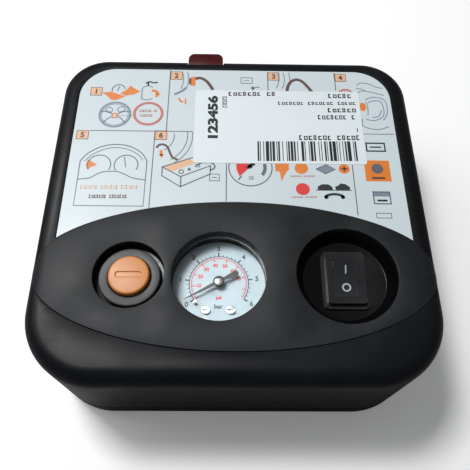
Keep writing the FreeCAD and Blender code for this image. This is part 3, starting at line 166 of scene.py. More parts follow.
def surface(name, group, sockets, depth, metallic=0.0, gloss=0.5):
    """A material whose colour, roughness and relief come from one effect group."""
    made, tree, shader = plain_material(name)
    effects = add(tree, "ShaderNodeGroup", node_tree=group)
    for label, value in sockets.items():
        effects.inputs[label].default_value = (*value, 1.0) if isinstance(value, tuple) else value
    link(tree, effects.outputs["Colour"], shader.inputs["Base Color"])
    link(tree, effects.outputs["Roughness"], shader.inputs["Roughness"])
    relief = add(tree, "ShaderNodeBump", {"Distance": depth * MM, "Strength": 1.0})
    link(tree, effects.outputs["Height"], relief.inputs["Height"])
    link(tree, relief.outputs["Normal"], shader.inputs["Normal"])
    shader.inputs["Specular IOR Level"].default_value = gloss
    shader.inputs["Metallic"].default_value = metallic
    return made


def moulded(name, plastic, rubbed, shine, grain_scale=2600.0, handling=0.5, wear=0.4, depth=0.02,
            gloss=0.5):
    return surface(name, moulding, {
        "Plastic": plastic, "Rubbed": rubbed, "Shine": shine, "Grain Scale": grain_scale,
        "Handling": handling, "Edge Wear": wear}, depth, gloss=gloss)


def coated(made, *names):
    """Packed parts that keep their shape get a material of their own."""
    for name in names:
        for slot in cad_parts[name].material_slots:
            slot.material = made


def piece(name, mesh, made, body):
    """A new piece on a body."""
    obj = bpy.data.objects.new(name, mesh)
    scene.collection.objects.link(obj)
    mesh.materials.clear()
    mesh.materials.append(made)
    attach(obj, body)
    return obj


def smooth_shaded(mesh, sharp):
    """Smooth shading, except on edges that turn by more degrees than given."""
    mesh.polygons.foreach_set("use_smooth", [True] * len(mesh.polygons))
    mesh.set_sharp_from_angle(angle=math.radians(sharp))


def softened(node, made, body, edge_radius, segments=2, clamped=False):
    """A part's form with its moulded or cut edges rounded by a small radius, in the part's place."""
    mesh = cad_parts[node].data.copy()
    mesh.name = node + "_form"
    for layer in ("custom_normal", "sharp_edge"):
        if layer in mesh.attributes:
            mesh.attributes.remove(mesh.attributes[layer])
    work = bmesh.new()
    work.from_mesh(mesh)
    bmesh.ops.remove_doubles(work, verts=work.verts, dist=WELD * MM)
    work.to_mesh(mesh)
    work.free()
    rough_form = bpy.data.objects.new(node + "_rough", mesh)
    scene.collection.objects.link(rough_form)
    bevel = rough_form.modifiers.new("edges", "BEVEL")
    bevel.width = edge_radius * MM
    bevel.segments = segments
    bevel.limit_method = "ANGLE"
    bevel.angle_limit = math.radians(SHARP_EDGE)
    bevel.miter_outer = "MITER_ARC"
    bevel.use_clamp_overlap = clamped
    bpy.context.view_layer.update()
    shown = rough_form.evaluated_get(bpy.context.evaluated_depsgraph_get())
    eased = bpy.data.meshes.new_from_object(shown)
    bpy.data.objects.remove(rough_form)
    smooth_shaded(eased, SHARP_EDGE)
    obj = piece(node + "_soft", eased, made, body)
    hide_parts(node)
    return obj


case_plastic = moulded("case_black_abs", CASE_BLACK, CASE_RUBBED, shine=0.34, wear=0.30, handling=0.35,
                      gloss=0.14)
for shell in ("upper_housing", "lower_housing"):
    softened(shell, case_plastic, "case", CASE_EDGE)


# --- Case screws and feet ---------------------------------------------------------------------
# Self-tapping screws in zinc-plated steel, and four soft black rubber pads pressed into round
# sinks of the tray so that the machine doesn't walk while it runs.

metal, given, wanted = effect(
    "worked_metal",
    [("Metal", COLOUR, (0.6, 0.6, 0.6, 1)), ("Tarnish", COLOUR, (0.3, 0.3, 0.3, 1)),
     ("Shine", VALUE, 0.25), ("Tarnishing", VALUE, 0.4)],
    [("Colour", COLOUR), ("Roughness", VALUE), ("Height", VALUE)],
)
tool_marks = noise(metal, 30.0, 3.0, (12.0, 160.0, 160.0))
stain = limits(metal, noise(metal, 120.0, 5.0), 0.42, 0.70)
stain = math_node(metal, "MULTIPLY", stain, given["Tarnishing"])
link(metal, blend_colour(metal, stain, given["Metal"], given["Tarnish"]), wanted["Colour"])
duller = math_node(metal, "ADD", math_node(metal, "MULTIPLY", stain, 0.3),
                   math_node(metal, "MULTIPLY", tool_marks, 0.12))
link(metal, math_node(metal, "ADD", given["Shine"], duller), wanted["Roughness"])
link(metal, tool_marks, wanted["Height"])


def metallic(name, colour, tarnish, shine=0.25, tarnishing=0.4, depth=0.004):
    return surface(name, metal, {"Metal": colour, "Tarnish": tarnish, "Shine": shine,
                                 "Tarnishing": tarnishing}, depth, metallic=1.0)


steel = metallic("plated_steel", (0.56, 0.57, 0.58), (0.25, 0.23, 0.20))
rubber = moulded("black_rubber", (0.012, 0.012, 0.013), (0.06, 0.058, 0.055), shine=0.62,
                 grain_scale=1200.0, handling=0.9, wear=0.3, depth=0.05)
coated(steel, "case_screws")
softened("rubber_feet", rubber, "case", 0.3)


# --- Control panel ----------------------------------------------------------------------------
# One oval moulding in dark grey ABS that snaps into a step across the front of the housing.  It
# carries the button's round well, the gauge's window and the switch's polished conical dish; in
# the dish and the well its colour is painted near-black as the shade in these recesses.

PANEL_GREY = (0.0095, 0.0110, 0.0130)
PANEL_RUBBED = (0.115, 0.120, 0.125)
PANEL_EDGE = 0.22
# near-black painted into the switch's dish and the button's well as the shade in these recesses
RECESS_SHADE_BLACK = (0.0014, 0.0017, 0.0021)
DISH_CENTRE = (43.2, -37.7)
DISH_GLOSS_AND_SHADE = (19.5, 19.9)
WELL_CENTRE = (-41.1, -38.1)
WELL_GLOSS_AND_SHADE = (13.6, 13.8)


def near_axis(tree, centre, inner, outer):
    """A mask that is one within a radius of an upright axis and nought outside it."""
    place = add(tree, "ShaderNodeTexCoord").outputs["Object"]
    flat = add(tree, "ShaderNodeVectorMath", operation="MULTIPLY")
    flat.inputs[1].default_value = (1.0, 1.0, 0.0)
    link(tree, place, flat.inputs[0])
    away = add(tree, "ShaderNodeVectorMath", operation="DISTANCE")
    away.inputs[1].default_value = (centre[0] * MM, centre[1] * MM, 0.0)
    link(tree, flat.outputs["Vector"], away.inputs[0])
    return limits(tree, away.outputs["Value"], outer * MM, inner * MM)


panel_plastic = moulded("panel_dark_abs", PANEL_GREY, PANEL_RUBBED, shine=0.42, handling=0.6, wear=0.3,
                        depth=0.03, gloss=0.24)
tree = panel_plastic.node_tree
shader = tree.nodes["Principled BSDF"]
# Inside the switch's dish and the button's well the plastic is glossier (lower roughness), and its colour
# is painted near-black there as shade in the recesses.
gloss_and_shade = math_node(tree, "MAXIMUM", near_axis(tree, DISH_CENTRE, *DISH_GLOSS_AND_SHADE),
                     near_axis(tree, WELL_CENTRE, *WELL_GLOSS_AND_SHADE))
sheen_level = shader.inputs["Roughness"].links[0].from_socket
panel_tone = shader.inputs["Base Color"].links[0].from_socket
link(tree, blend_colour(tree, gloss_and_shade, panel_tone, RECESS_SHADE_BLACK), shader.inputs["Base Color"])
link(tree, math_node(tree, "MULTIPLY", sheen_level, limits(tree, gloss_and_shade, 0.0, 1.0, 1.0, 0.55)),
     shader.inputs["Roughness"])
softened("control_panel", panel_plastic, "case", PANEL_EDGE, 3)


# --- Instruction label ------------------------------------------------------------------------
# A printed polyester film on the top of the case, its front edge cut to the panel's oval.  Six
# numbered pictures show how to use the machine, in grey lines with orange, red and black.

LABEL_TOP = 57.8
LABEL_WHITE = (0.60, 0.68, 0.71)
INK_STEP = 0.015
INK_SPREAD = 1.45
CURVE_STEPS = 6
DISC_SIDES = 36
ART_TURN = 0.0130
ART_SHIFT = 0.55
TYPE_HEIGHTS = (1.0, 0.86, 0.90, 1.0, 0.86, 0.94, 0.88, 1.0, 0.92)

film, given, wanted = effect(
    "printed_sheet",
    [("Sheet", COLOUR, (0.7, 0.7, 0.7, 1)), ("Soiled", COLOUR, (0.5, 0.5, 0.5, 1)),
     ("Shine", VALUE, 0.35), ("Soiling", VALUE, 0.4), ("Fibre Scale", VALUE, 900.0)],
    [("Colour", COLOUR), ("Roughness", VALUE), ("Height", VALUE)],
)
fibre = noise(film, given["Fibre Scale"], 3.0)
ripple = noise(film, 28.0, 1.0)
soil = limits(film, noise(film, 22.0, 6.0), 0.42, 0.75)
speck = limits(film, noise(film, 700.0, 1.0), 0.74, 0.80)
soil = math_node(film, "MAXIMUM", math_node(film, "MULTIPLY", soil, 0.6), speck)
soil = math_node(film, "MULTIPLY", soil, given["Soiling"])
link(film, blend_colour(film, soil, given["Sheet"], given["Soiled"]), wanted["Colour"])
link(film, math_node(film, "ADD", given["Shine"], math_node(
    film, "ADD", math_node(film, "MULTIPLY", soil, 0.25), math_node(film, "MULTIPLY", fibre, 0.1))),
    wanted["Roughness"])
link(film, math_node(film, "ADD", math_node(film, "MULTIPLY", fibre, 0.06),
                     math_node(film, "MULTIPLY", ripple, 1.0)), wanted["Height"])


def sheet_material(name, colour, soiled, shine, soiling=0.35, fibre_scale=900.0, depth=0.12):
    return surface(name, film, {"Sheet": colour, "Soiled": soiled, "Shine": shine, "Soiling": soiling,
                                "Fibre Scale": fibre_scale}, depth)


def stroke(points, width):
    """A line of even width along points, as a strip of four-sided faces."""
    sides = []
    last = len(points) - 1
    for index, (x, y) in enumerate(points):
        x0, y0 = points[max(index - 1, 0)]
        x1, y1 = points[min(index + 1, last)]
        reach = math.hypot(x1 - x0, y1 - y0) or 1.0
        half_line = width * INK_SPREAD / 2
        across = (-(y1 - y0) / reach * half_line, (x1 - x0) / reach * half_line)
        sides.append(((x + across[0], y + across[1]), (x - across[0], y - across[1])))
    return [[a[0], a[1], b[1], b[0]] for a, b in zip(sides, sides[1:])]


def curve(points, width):
    """A smooth line through points."""
    ends = [points[0], *points, points[-1]]
    path = []
    for p0, p1, p2, p3 in zip(ends, ends[1:], ends[2:], ends[3:]):
        for step in range(CURVE_STEPS):
            t = step / CURVE_STEPS
            path.append(tuple(
                0.5 * (2 * b + (c - a) * t + (2 * a - 5 * b + 4 * c - d) * t * t
                       + (3 * b - a - 3 * c + d) * t ** 3)
                for a, b, c, d in zip(p0, p1, p2, p3)))
    return stroke(path + [points[-1]], width)


def arc(x, y, radius, width, start=0.0, stop=360.0, squeeze=1.0):
    """Part of a ring; a squeeze makes it an ellipse."""
    count = max(4, int(abs(stop - start) / 6))
    angles = [math.radians(start + (stop - start) * step / count) for step in range(count + 1)]
    inner, outer = radius - width * INK_SPREAD / 2, radius + width * INK_SPREAD / 2
    rims = [[(x + r * math.cos(a), y + r * squeeze * math.sin(a)) for r in (inner, outer)] for a in angles]
    return [[a[0], a[1], b[1], b[0]] for a, b in zip(rims, rims[1:])]


def disc(x, y, radius):
    angles = [2 * math.pi * k / DISC_SIDES for k in range(DISC_SIDES)]
    return [[(x + radius * math.cos(a), y + radius * math.sin(a)) for a in angles]]


def bar(x0, x1, y0, y1):
    return [[(x0, y0), (x1, y0), (x1, y1), (x0, y1)]]


def outline(x0, x1, y0, y1, width):
    return (bar(x0, x1, y0, y0 + width) + bar(x0, x1, y1 - width, y1)
            + bar(x0, x0 + width, y0 + width, y1 - width) + bar(x1 - width, x1, y0 + width, y1 - width))


def figures(text, x, y, height, weight, turn=0.0, length=None):
    """Plain figures centred on a point, as flat faces, spread to a length where one is given."""
    letters = bpy.data.curves.new("figures", "FONT")
    letters.body = text
    letters.resolution_u = 3
    letters.offset = weight
    carrier = bpy.data.objects.new("figures", letters)
    scene.collection.objects.link(carrier)
    bpy.context.view_layer.update()
    flat = bpy.data.meshes.new_from_object(carrier.evaluated_get(bpy.context.evaluated_depsgraph_get()))
    bpy.data.objects.remove(carrier)
    spots = [vertex.co.xy for vertex in flat.vertices]
    low = Vector((min(s.x for s in spots), min(s.y for s in spots)))
    high = Vector((max(s.x for s in spots), max(s.y for s in spots)))
    tall = height / (high.y - low.y)
    wide = length / (high.x - low.x) if length else tall
    turned = Matrix.Rotation(math.radians(turn), 2)
    middle = (low + high) / 2
    placed = [turned @ Vector(((s.x - middle.x) * wide, (s.y - middle.y) * tall)) + Vector((x, y))
              for s in spots]
    return [[tuple(placed[index]) for index in face.vertices] for face in flat.polygons]


def greeked(x0, x1, y0, y1, pitch):
    """A line of unreadable type: boxes and brackets of uneven height, with a gap after every seven."""
    marks = []
    tall = y1 - y0
    x, index = x0, 0
    while x + pitch * 0.7 < x1:
        top = y0 + tall * TYPE_HEIGHTS[index % len(TYPE_HEIGHTS)]
        wide = pitch * (0.78 if index % 3 else 0.62)
        if index % 2 == 0:
            marks += bar(x, x + pitch * 0.28, y0, top)
            marks += bar(x, x + wide, y0, y0 + tall * 0.24)
            marks += bar(x, x + wide * 0.9, top - tall * 0.2, top)
        elif index % 8 != 7:
            marks += outline(x, x + wide, y0, top, pitch * 0.24)
        x, index = x + pitch, index + 1
    return marks


def printed(name, faces, level, made, body="case", place=None):
    """Flat printing at a level above the base, or on a tilted face that a matrix places."""
    mesh = bpy.data.meshes.new(name)
    points, polygons = [], []
    for face in faces:
        turn = sum(a[0] * b[1] - b[0] * a[1] for a, b in zip(face, face[1:] + face[:1]))
        loop = face if turn > 0 else face[::-1]
        polygons.append(range(len(points), len(points) + len(loop)))
        points += [Vector((x * MM, y * MM, level * MM)) for x, y in loop]
    if place:
        points = [place @ point for point in points]
    mesh.from_pydata(points, [], polygons)
    return piece(name, mesh, made, body)


def laid_on(faces):
    """Artwork moved by the slight shift and turn with which the label was stuck on the case."""
    moved = []
    for face in faces:
        middle = [sum(axis) / len(face) for axis in zip(*face)]
        shift = (-ART_SHIFT - ART_TURN * middle[1], ART_TURN * middle[0])
        moved.append([(x + shift[0], y + shift[1]) for x, y in face])
    return moved


label_film = sheet_material("label_film", LABEL_WHITE, (0.46, 0.49, 0.50), shine=0.34)
gloss_coat = label_film.node_tree.nodes["Principled BSDF"].inputs
gloss_coat["Coat Weight"].default_value = 0.12
gloss_coat["Coat Roughness"].default_value = 0.12
coated(label_film, "instruction_label")


def ink(name, colour, worn=0.25):
    return sheet_material(name, colour, tuple(0.6 * c + 0.25 for c in colour), shine=0.38, soiling=worn,
                          fibre_scale=1600.0, depth=0.02)


grey_ink = ink("ink_grey", (0.120, 0.125, 0.140))
blue_ink = ink("ink_blue_grey", (0.20, 0.235, 0.30))
orange_ink = ink("ink_orange", (0.72, 0.205, 0.030))
tan_ink = ink("ink_tan", (0.745, 0.445, 0.280))
brown_ink = ink("ink_brown", (0.105, 0.050, 0.040))
rose_ink = ink("ink_rose", (0.50, 0.17, 0.145))
red_ink = ink("ink_red", (0.68, 0.030, 0.028))
black_ink = ink("ink_black", (0.010, 0.011, 0.013))

grey, blue, orange, tan, brown, rose, red, black = ([] for _ in range(8))

# the fields and their numbers
for x0, x1, y0, y1 in ((-29.5, -29.1, 30.4, 66.0), (-34.9, -34.5, -8.4, 30.2), (-3.5, -3.1, -5.3, 13.3),
                       (50.3, 50.7, -12.0, 12.6), (16.1, 16.5, 54.0, 65.0), (47.4, 47.8, 54.0, 64.6)):
    grey += bar(x0, x1, y0, y1)
grey += bar(-63.0, -18.2, 30.45, 30.8) + bar(57.0, 71.0, 28.9, 29.2)
for number, x0, x1, y0, y1 in (("1", -65.0, -59.7, 50.7, 55.5), ("2", -28.9, -23.4, 60.3, 65.2),
                               ("3", 16.4, 21.8, 60.0, 64.8), ("4", 47.8, 53.0, 59.4, 64.1),
                               ("5", -68.6, -63.3, 26.2, 30.9), ("6", -34.4, -29.1, 25.9, 30.8)):
    tan += bar(x0, x1, y0, y1)
    brown += outline(x0, x1, y0, y1, 0.22)
    brown += figures(number, (x0 + x1) / 2, (y0 + y1) / 2, 2.9, weight=0.03)

# 1: booklet, bottle and speed limits
orange += [[(-60.0, 52.4), (-57.2, 50.4), (-55.2, 48.2), (-53.4, 47.9), (-50.6, 49.2), (-48.9, 50.4),
            (-52.5, 51.6), (-55.4, 52.9)]]
orange += [[(-51.5, 51.9), (-48.6, 54.2), (-47.2, 56.6), (-44.6, 54.6), (-42.3, 53.2), (-45.2, 51.3),
            (-48.9, 50.6)]]
grey += curve([(-55.3, 53.1), (-54.8, 55.6), (-52.5, 57.2), (-50.2, 56.2), (-49.4, 54.4)], 0.3)
grey += stroke([(-52.8, 53.4), (-52.0, 56.2)], 0.3)
blue += curve([(-41.5, 48.6), (-41.6, 53.4), (-41.2, 55.4), (-39.0, 56.5), (-36.8, 55.6)], 0.35)
blue += curve([(-41.5, 48.8), (-39.0, 48.2), (-36.6, 49.0)], 0.35)
black += curve([(-40.2, 57.9), (-38.4, 58.9), (-36.6, 58.3), (-34.6, 58.6)], 0.45)
black += bar(-39.3, -38.6, 56.4, 58.4)
orange += curve([(-37.2, 53.6), (-35.2, 53.2), (-34.2, 51.8)], 1.0)
orange += [[(-35.7, 51.9), (-32.9, 51.9), (-35.0, 49.2)]]
blue += arc(-52.8, 39.8, 6.8, 0.65) + arc(-52.8, 39.8, 5.9, 0.2)
for path in ([(-59.0, 41.2), (-56.0, 41.6), (-54.2, 40.0)], [(-46.6, 41.2), (-49.6, 41.6), (-51.4, 40.0)],
             [(-57.6, 35.4), (-55.2, 38.0), (-53.8, 38.4)], [(-48.2, 35.4), (-50.4, 38.0), (-51.8, 38.4)]):
    blue += curve(path, 0.4)
blue += arc(-55.6, 42.3, 1.5, 0.3) + arc(-50.2, 42.6, 1.6, 0.3)
orange += arc(-52.8, 39.2, 1.2, 0.5)
rose += arc(-38.0, 40.3, 6.2, 0.85, squeeze=0.98)
blue += bar(-52.8, -44.6, 39.0, 39.2)
rose += greeked(-42.0, -34.2, 41.2, 42.6, 0.8) + greeked(-41.4, -34.6, 38.6, 40.0, 0.8)

# 2, 3 and 4: the wheel, its valve and the hose
for x, y, radius, start, stop in ((-38.0, 60.5, 17.5, -16, 15), (-38.0, 60.5, 15.2, -22, 18),
                                  (9.5, 61.0, 17.2, -22, 13), (9.5, 61.0, 14.6, -24, 15),
                                  (9.5, 61.0, 12.0, -28, 18)):
    blue += arc(x, y, radius, 0.3, start, stop)
orange += bar(-19.3, -17.2, 56.6, 62.0)
brown += bar(-20.2, -19.3, 57.4, 61.2)
for path in ([(-17.4, 60.8), (-15.2, 61.3), (-12.8, 60.0), (-10.8, 57.4), (-9.2, 54.2)],
             [(24.9, 53.4), (25.6, 56.6), (27.3, 59.4), (29.8, 60.5), (32.3, 59.3), (34.6, 56.2),
              (36.5, 52.9)]):
    brown += curve(path, 1.0)
    tan += curve([(x, y + 0.12) for x, y in path], 0.35)
blue += curve([(-26.8, 51.4), (-24.6, 52.6), (-23.0, 53.8), (-21.3, 55.6)], 0.8)
orange += curve([(-24.6, 49.4), (-23.8, 47.6), (-22.6, 46.9)], 0.6) + bar(-21.9, -21.2, 45.8, 49.0)
grey += outline(3.7, 9.2, 58.0, 61.7, 0.3) + bar(5.0, 7.9, 59.7, 59.95) + disc(9.2, 55.4, 0.8)
grey += arc(11.3, 53.6, 2.2, 0.25, 60, 200)
rose += arc(52.0, 51.0, 3.5, 0.7, 20, 175) + arc(52.0, 51.0, 2.2, 0.3, 20, 170)
orange += [[(57.9, 42.3), (59.6, 41.9), (60.6, 44.0), (60.2, 46.4), (58.4, 47.0), (57.5, 44.9)]]
for path in ([(57.6, 57.4), (60.0, 58.6), (63.4, 58.0), (66.4, 56.2), (69.5, 55.4)],
             [(57.2, 52.6), (60.2, 53.8), (64.6, 52.8), (69.6, 51.2)],
             [(60.6, 48.6), (64.0, 50.0), (68.4, 49.2), (70.0, 46.2), (69.6, 40.6), (67.4, 36.8)],
             [(61.6, 47.0), (64.8, 48.0), (67.6, 47.2), (68.4, 42.4), (67.2, 38.6), (63.4, 36.6),
              (59.6, 37.4)],
             [(57.2, 34.2), (60.0, 32.4), (64.8, 31.6), (69.4, 33.2)],
             [(60.8, 47.4), (61.2, 43.8), (60.8, 39.6)], [(58.0, 37.6), (57.4, 33.4)],
             [(57.0, 55.2), (59.4, 55.0), (61.2, 53.8)], [(62.6, 38.2), (65.6, 39.2), (67.4, 42.4)]):
    blue += curve(path, 0.3)

# 5: the dashboard
grey += stroke([(-65.5, 14.6), (-65.5, -7.3), (-37.2, -7.3), (-37.2, 14.9)], 0.3)
grey += curve([(-65.5, 14.6), (-62.4, 18.8), (-57.0, 22.2), (-50.6, 23.4), (-44.6, 22.2), (-39.6, 18.9),
               (-37.2, 14.9)], 0.3)
grey += curve([(-63.6, 14.6), (-60.4, 18.2), (-55.6, 20.8), (-50.8, 21.7), (-45.8, 20.8), (-41.2, 18.2),
               (-38.8, 15.0)], 0.22)
grey += arc(-57.2, 12.9, 4.9, 0.3, -32, 205) + arc(-45.8, 12.7, 5.0, 0.3, -28, 212)
grey += curve([(-65.3, 5.6), (-60.6, 6.2), (-57.2, 8.4), (-54.0, 9.4), (-49.4, 9.4), (-46.4, 8.2),
               (-42.6, 6.2), (-37.3, 5.2)], 0.28)
orange += [[(-62.3, 15.6), (-62.7, 12.6), (-62.0, 10.2), (-60.4, 11.6), (-58.0, 12.9), (-60.2, 14.4)]]
blue += stroke([(-46.8, 16.8), (-45.8, 11.5)], 0.35)
tan += greeked(-63.8, -38.8, 0.9, 2.6, 1.05)
brown += greeked(-59.8, -42.4, -3.6, -1.9, 1.05)

# 6: the machine beside a wheel
for radius in (17.0, 14.8, 9.0):
    blue += arc(-34.9, 28.0, radius, 0.3, -58, 8)
brown += curve([(-33.4, 21.6), (-32.4, 23.0), (-30.6, 23.4), (-28.8, 22.2), (-27.6, 19.4), (-26.4, 16.8),
                (-24.0, 15.3)], 0.65)
orange += stroke([(-31.4, 20.4), (-31.1, 17.6)], 0.9) + [[(-32.3, 18.0), (-30.0, 18.4), (-30.8, 16.2)]]
tan += [[(-29.7, 11.3), (-26.2, 9.5), (-15.8, 14.0), (-19.5, 16.2)]]
for path in ([(-30.4, 11.6), (-22.4, 6.8), (-10.0, 12.4), (-17.6, 16.6), (-30.4, 11.6)],
             [(-30.4, 11.6), (-30.4, 7.2), (-22.4, 1.8), (-10.1, 8.2), (-10.0, 12.4)],
             [(-22.4, 6.8), (-22.4, 1.8)]):
    grey += stroke(path, 0.35)
grey += arc(-22.3, 9.3, 0.95, 0.3) + disc(-19.0, 10.5, 0.7) + outline(-16.6, -14.4, 11.6, 12.9, 0.3)
grey += curve([(-16.0, 12.4), (-14.0, 13.7), (-10.6, 14.0), (-8.5, 12.9), (-8.4, 11.0), (-10.4, 9.9)], 0.45)
grey += outline(-10.5, -6.1, 4.6, 8.2, 0.28) + bar(-9.4, -7.2, 6.2, 6.5)

# the lower row: the gauge, the time limits and the help line
grey += arc(7.0, 11.4, 9.2, 0.32, -194, 14)
red += [[(0.9, 13.3), (1.1, 10.2), (2.3, 7.0), (4.6, 9.2), (6.6, 11.5), (7.0, 13.3)]]
black += curve([(5.6, 11.0), (7.2, 12.6), (8.9, 13.3)], 1.0) + disc(6.9, 11.9, 1.0)
grey += arc(7.0, 11.4, 6.2, 1.0, -38, 16) + stroke([(3.2, 7.2), (1.8, 5.2)], 0.4)
grey += bar(6.2, 8.3, 5.4, 5.8) + bar(6.2, 8.3, 6.4, 6.8)
orange += [[(17.5, 13.3), (17.5, 9.6), (19.4, 9.2), (20.0, 4.5), (22.4, 9.4), (23.4, 10.4), (23.4, 13.3)]]
orange += disc(28.7, 11.0, 2.9) + disc(47.0, 10.7, 2.4)
brown += bar(46.7, 47.3, 9.2, 12.2) + bar(45.6, 48.4, 10.4, 11.0)
rose += greeked(23.8, 34.2, 6.6, 7.4, 0.7) + greeked(23.8, 34.2, -3.7, -2.9, 0.7)
blue += [[(35.0, 10.6), (38.8, 8.2), (43.2, 10.4), (39.4, 12.8)]]
grey += stroke([(35.0, 10.6), (38.8, 8.2), (43.2, 10.4), (39.4, 12.8), (35.0, 10.6)], 0.3)
red += disc(28.6, 0.6, 2.9)
black += [[(34.8, 0.2), (35.0, 1.8), (36.8, 2.9), (39.4, 2.9), (41.0, 1.6), (41.2, 0.2)]]
black += [[(42.4, 0.2), (42.2, 1.7), (43.6, 2.2), (44.6, 3.3), (46.6, 3.0), (48.4, 1.6), (48.4, 0.2)]]
black += bar(34.0, 49.0, -0.15, 0.1)
black += curve([(37.6, -3.7), (38.6, -2.5), (41.6, -1.9), (44.4, -2.5), (45.4, -3.7)], 0.75)
black += disc(38.1, -3.3, 0.9) + disc(45.0, -3.3, 0.9)

# the right-hand column: four plain badges
black += outline(57.6, 66.2, 19.6, 24.4, 0.6) + bar(59.4, 64.4, 21.7, 22.3)
orange += bar(55.8, 66.6, 4.4, 15.0)
grey += disc(61.2, 10.8, 2.5)
brown += bar(58.4, 64.0, 5.6, 6.5)
blue += bar(57.6, 65.0, -3.0, -0.6)
grey += outline(57.6, 65.0, -6.8, -0.6, 0.5)
black += bar(59.2, 63.4, -5.4, -4.6)
grey += outline(57.8, 64.2, -13.4, -10.9, 0.28)

for rank, (name, faces, made) in enumerate((
        ("label_print_orange", orange, orange_ink), ("label_print_tan", tan, tan_ink),
        ("label_print_blue", blue, blue_ink), ("label_print_rose", rose, rose_ink),
        ("label_print_grey", grey, grey_ink), ("label_print_red", red, red_ink),
        ("label_print_brown", brown, brown_ink), ("label_print_black", black, black_ink)), start=1):
    level = LABEL_TOP + rank * INK_STEP
    printed(name, laid_on(faces), level, made)


# --- Stock sticker ----------------------------------------------------------------------------
# A plain white paper sticker put on over the label by the dealer, with a stock number, a few
# lines of type and a bar code in thermal black.

STICKER_TOP = 57.95
STICKER_WHITE = (0.72, 0.78, 0.81)
BAR_UNIT = 0.36
BAR_WIDTHS = (2, 1, 1, 3, 1, 2, 4, 1, 2, 1, 3, 2, 1, 1, 2, 3,
              1, 4, 1, 1, 2, 1, 3, 1, 2, 2, 1, 4, 3, 1, 1, 2)

sticker_paper = sheet_material("sticker_paper", STICKER_WHITE, (0.52, 0.54, 0.55), shine=0.42, soiling=0.3)
softened("stock_sticker", sticker_paper, "case", 0.05, 1)
faces = figures("123456", -9.15, 38.65, 4.7, turn=90.0, weight=0.05, length=24.0)
faces += [[(y, x) for x, y in face] for face in greeked(43.8, 50.4, -4.8, -2.6, 1.1)]
for x0, x1, y0, y1, pitch in ((-2.0, 19.8, 50.6, 52.9, 2.2), (43.7, 56.0, 49.4, 51.9, 2.2),
                              (20.5, 56.0, 45.4, 47.2, 1.7), (42.8, 55.8, 41.1, 43.5, 2.2),
                              (38.0, 55.6, 37.1, 39.6, 1.9), (28.8, 55.5, 25.7, 28.3, 2.1)):
    faces += greeked(x0, x1, y0, y1, pitch)
faces += bar(54.8, 55.2, 30.2, 32.2)
x = 10.3
for turn in range(2):
    for index, width in enumerate(BAR_WIDTHS):
        if index % 2 == turn:
            faces += bar(x, x + width * BAR_UNIT, 14.6, 25.0)
        x += width * BAR_UNIT
printed("sticker_print", laid_on(faces), STICKER_TOP + INK_STEP, black_ink)


# --- Deflate button ---------------------------------------------------------------------------
# A domed orange cap with a long shallow slot, pushed down by a finger inside a grey collar ring.
# Both are ABS mouldings; the cap is held up by the bleed valve's spring.

CAP_TOP = 58.0
CAP_RADIUS = 8.0
SKIRT_RADIUS = 8.9
SKIRT_TOP = 50.0
SKIRT_BASE = 47.5
DOME = 0.30
CAP_ROUND = 0.9
SLOT_HALF = 4.0
SLOT_ROUND = 1.2
SLOT_DEEP = 0.38
SLOT_REACH = 0.16
SLOT_BLEND = 0.42
STEM_BORE = 2.6
CAP_ROWS = 84
ROUND_ROWS = 8


def lathe(name, profile, centre, made, body, sides, shape=None):
    """A turned form about an upright axis from its radii and levels; a shape can lower points."""
    mesh = bpy.data.meshes.new(name)
    points, faces = [], []
    for radius, level in profile:
        for side in range(sides):
            angle = 2 * math.pi * side / sides
            x, y = radius * math.cos(angle), radius * math.sin(angle)
            z = level - (shape(x, y, level) if shape else 0.0)
            points.append(((centre[0] + x) * MM, (centre[1] + y) * MM, z * MM))
    for row in range(len(profile) - 1):
        for side in range(sides):
            after = (side + 1) % sides
            faces.append((row * sides + side, row * sides + after, (row + 1) * sides + after,
                          (row + 1) * sides + side))
    mesh.from_pydata(points, [], faces)
    work = bmesh.new()
    work.from_mesh(mesh)
    bmesh.ops.remove_doubles(work, verts=work.verts, dist=0.001 * MM)
    bmesh.ops.recalc_face_normals(work, faces=work.faces)
    work.to_mesh(mesh)
    work.free()
    smooth_shaded(mesh, 50)
    return piece(name, mesh, made, body)


def finger_slot(x, y, level):
    """How far the cap's slot lowers a point of its top."""
    if level < CAP_TOP - 1.2:
        return 0.0
    away = math.hypot(max(abs(x) - SLOT_HALF, 0.0), y) - SLOT_ROUND
    t = min(max((SLOT_REACH - away) / SLOT_BLEND, 0.0), 1.0)
    return SLOT_DEEP * t * t * (3 - 2 * t)


cap_profile = [(0.0, CAP_TOP)]
for step in range(1, CAP_ROWS + 1):
    radius = step * (CAP_RADIUS - CAP_ROUND) / CAP_ROWS
    cap_profile.append((radius, CAP_TOP - DOME * (radius / CAP_RADIUS) ** 2))
shoulder = CAP_TOP - DOME * ((CAP_RADIUS - CAP_ROUND) / CAP_RADIUS) ** 2
for step in range(1, ROUND_ROWS + 1):
    angle = math.radians(90 - 90 * step / ROUND_ROWS)
    cap_profile.append((CAP_RADIUS - CAP_ROUND + CAP_ROUND * math.cos(angle),
                        shoulder - CAP_ROUND * (1 - math.sin(angle))))
cap_profile += [(CAP_RADIUS, SKIRT_TOP), (SKIRT_RADIUS - 0.3, SKIRT_TOP), (SKIRT_RADIUS, SKIRT_TOP - 0.3),
                (SKIRT_RADIUS, SKIRT_BASE), (STEM_BORE, SKIRT_BASE), (STEM_BORE, SKIRT_TOP - 0.6),
                (0.0, SKIRT_TOP - 0.6)]
cap_orange = moulded("orange_cap", (0.60, 0.225, 0.050), (0.68, 0.40, 0.20), shine=0.34,
                     grain_scale=1900.0, handling=0.6, wear=0.25, depth=0.02)
glow = cap_orange.node_tree.nodes["Principled BSDF"].inputs
glow["Subsurface Weight"].default_value = 0.12
glow["Subsurface Radius"].default_value = (0.0020, 0.0008, 0.0003)
glow["Subsurface Scale"].default_value = 1.0
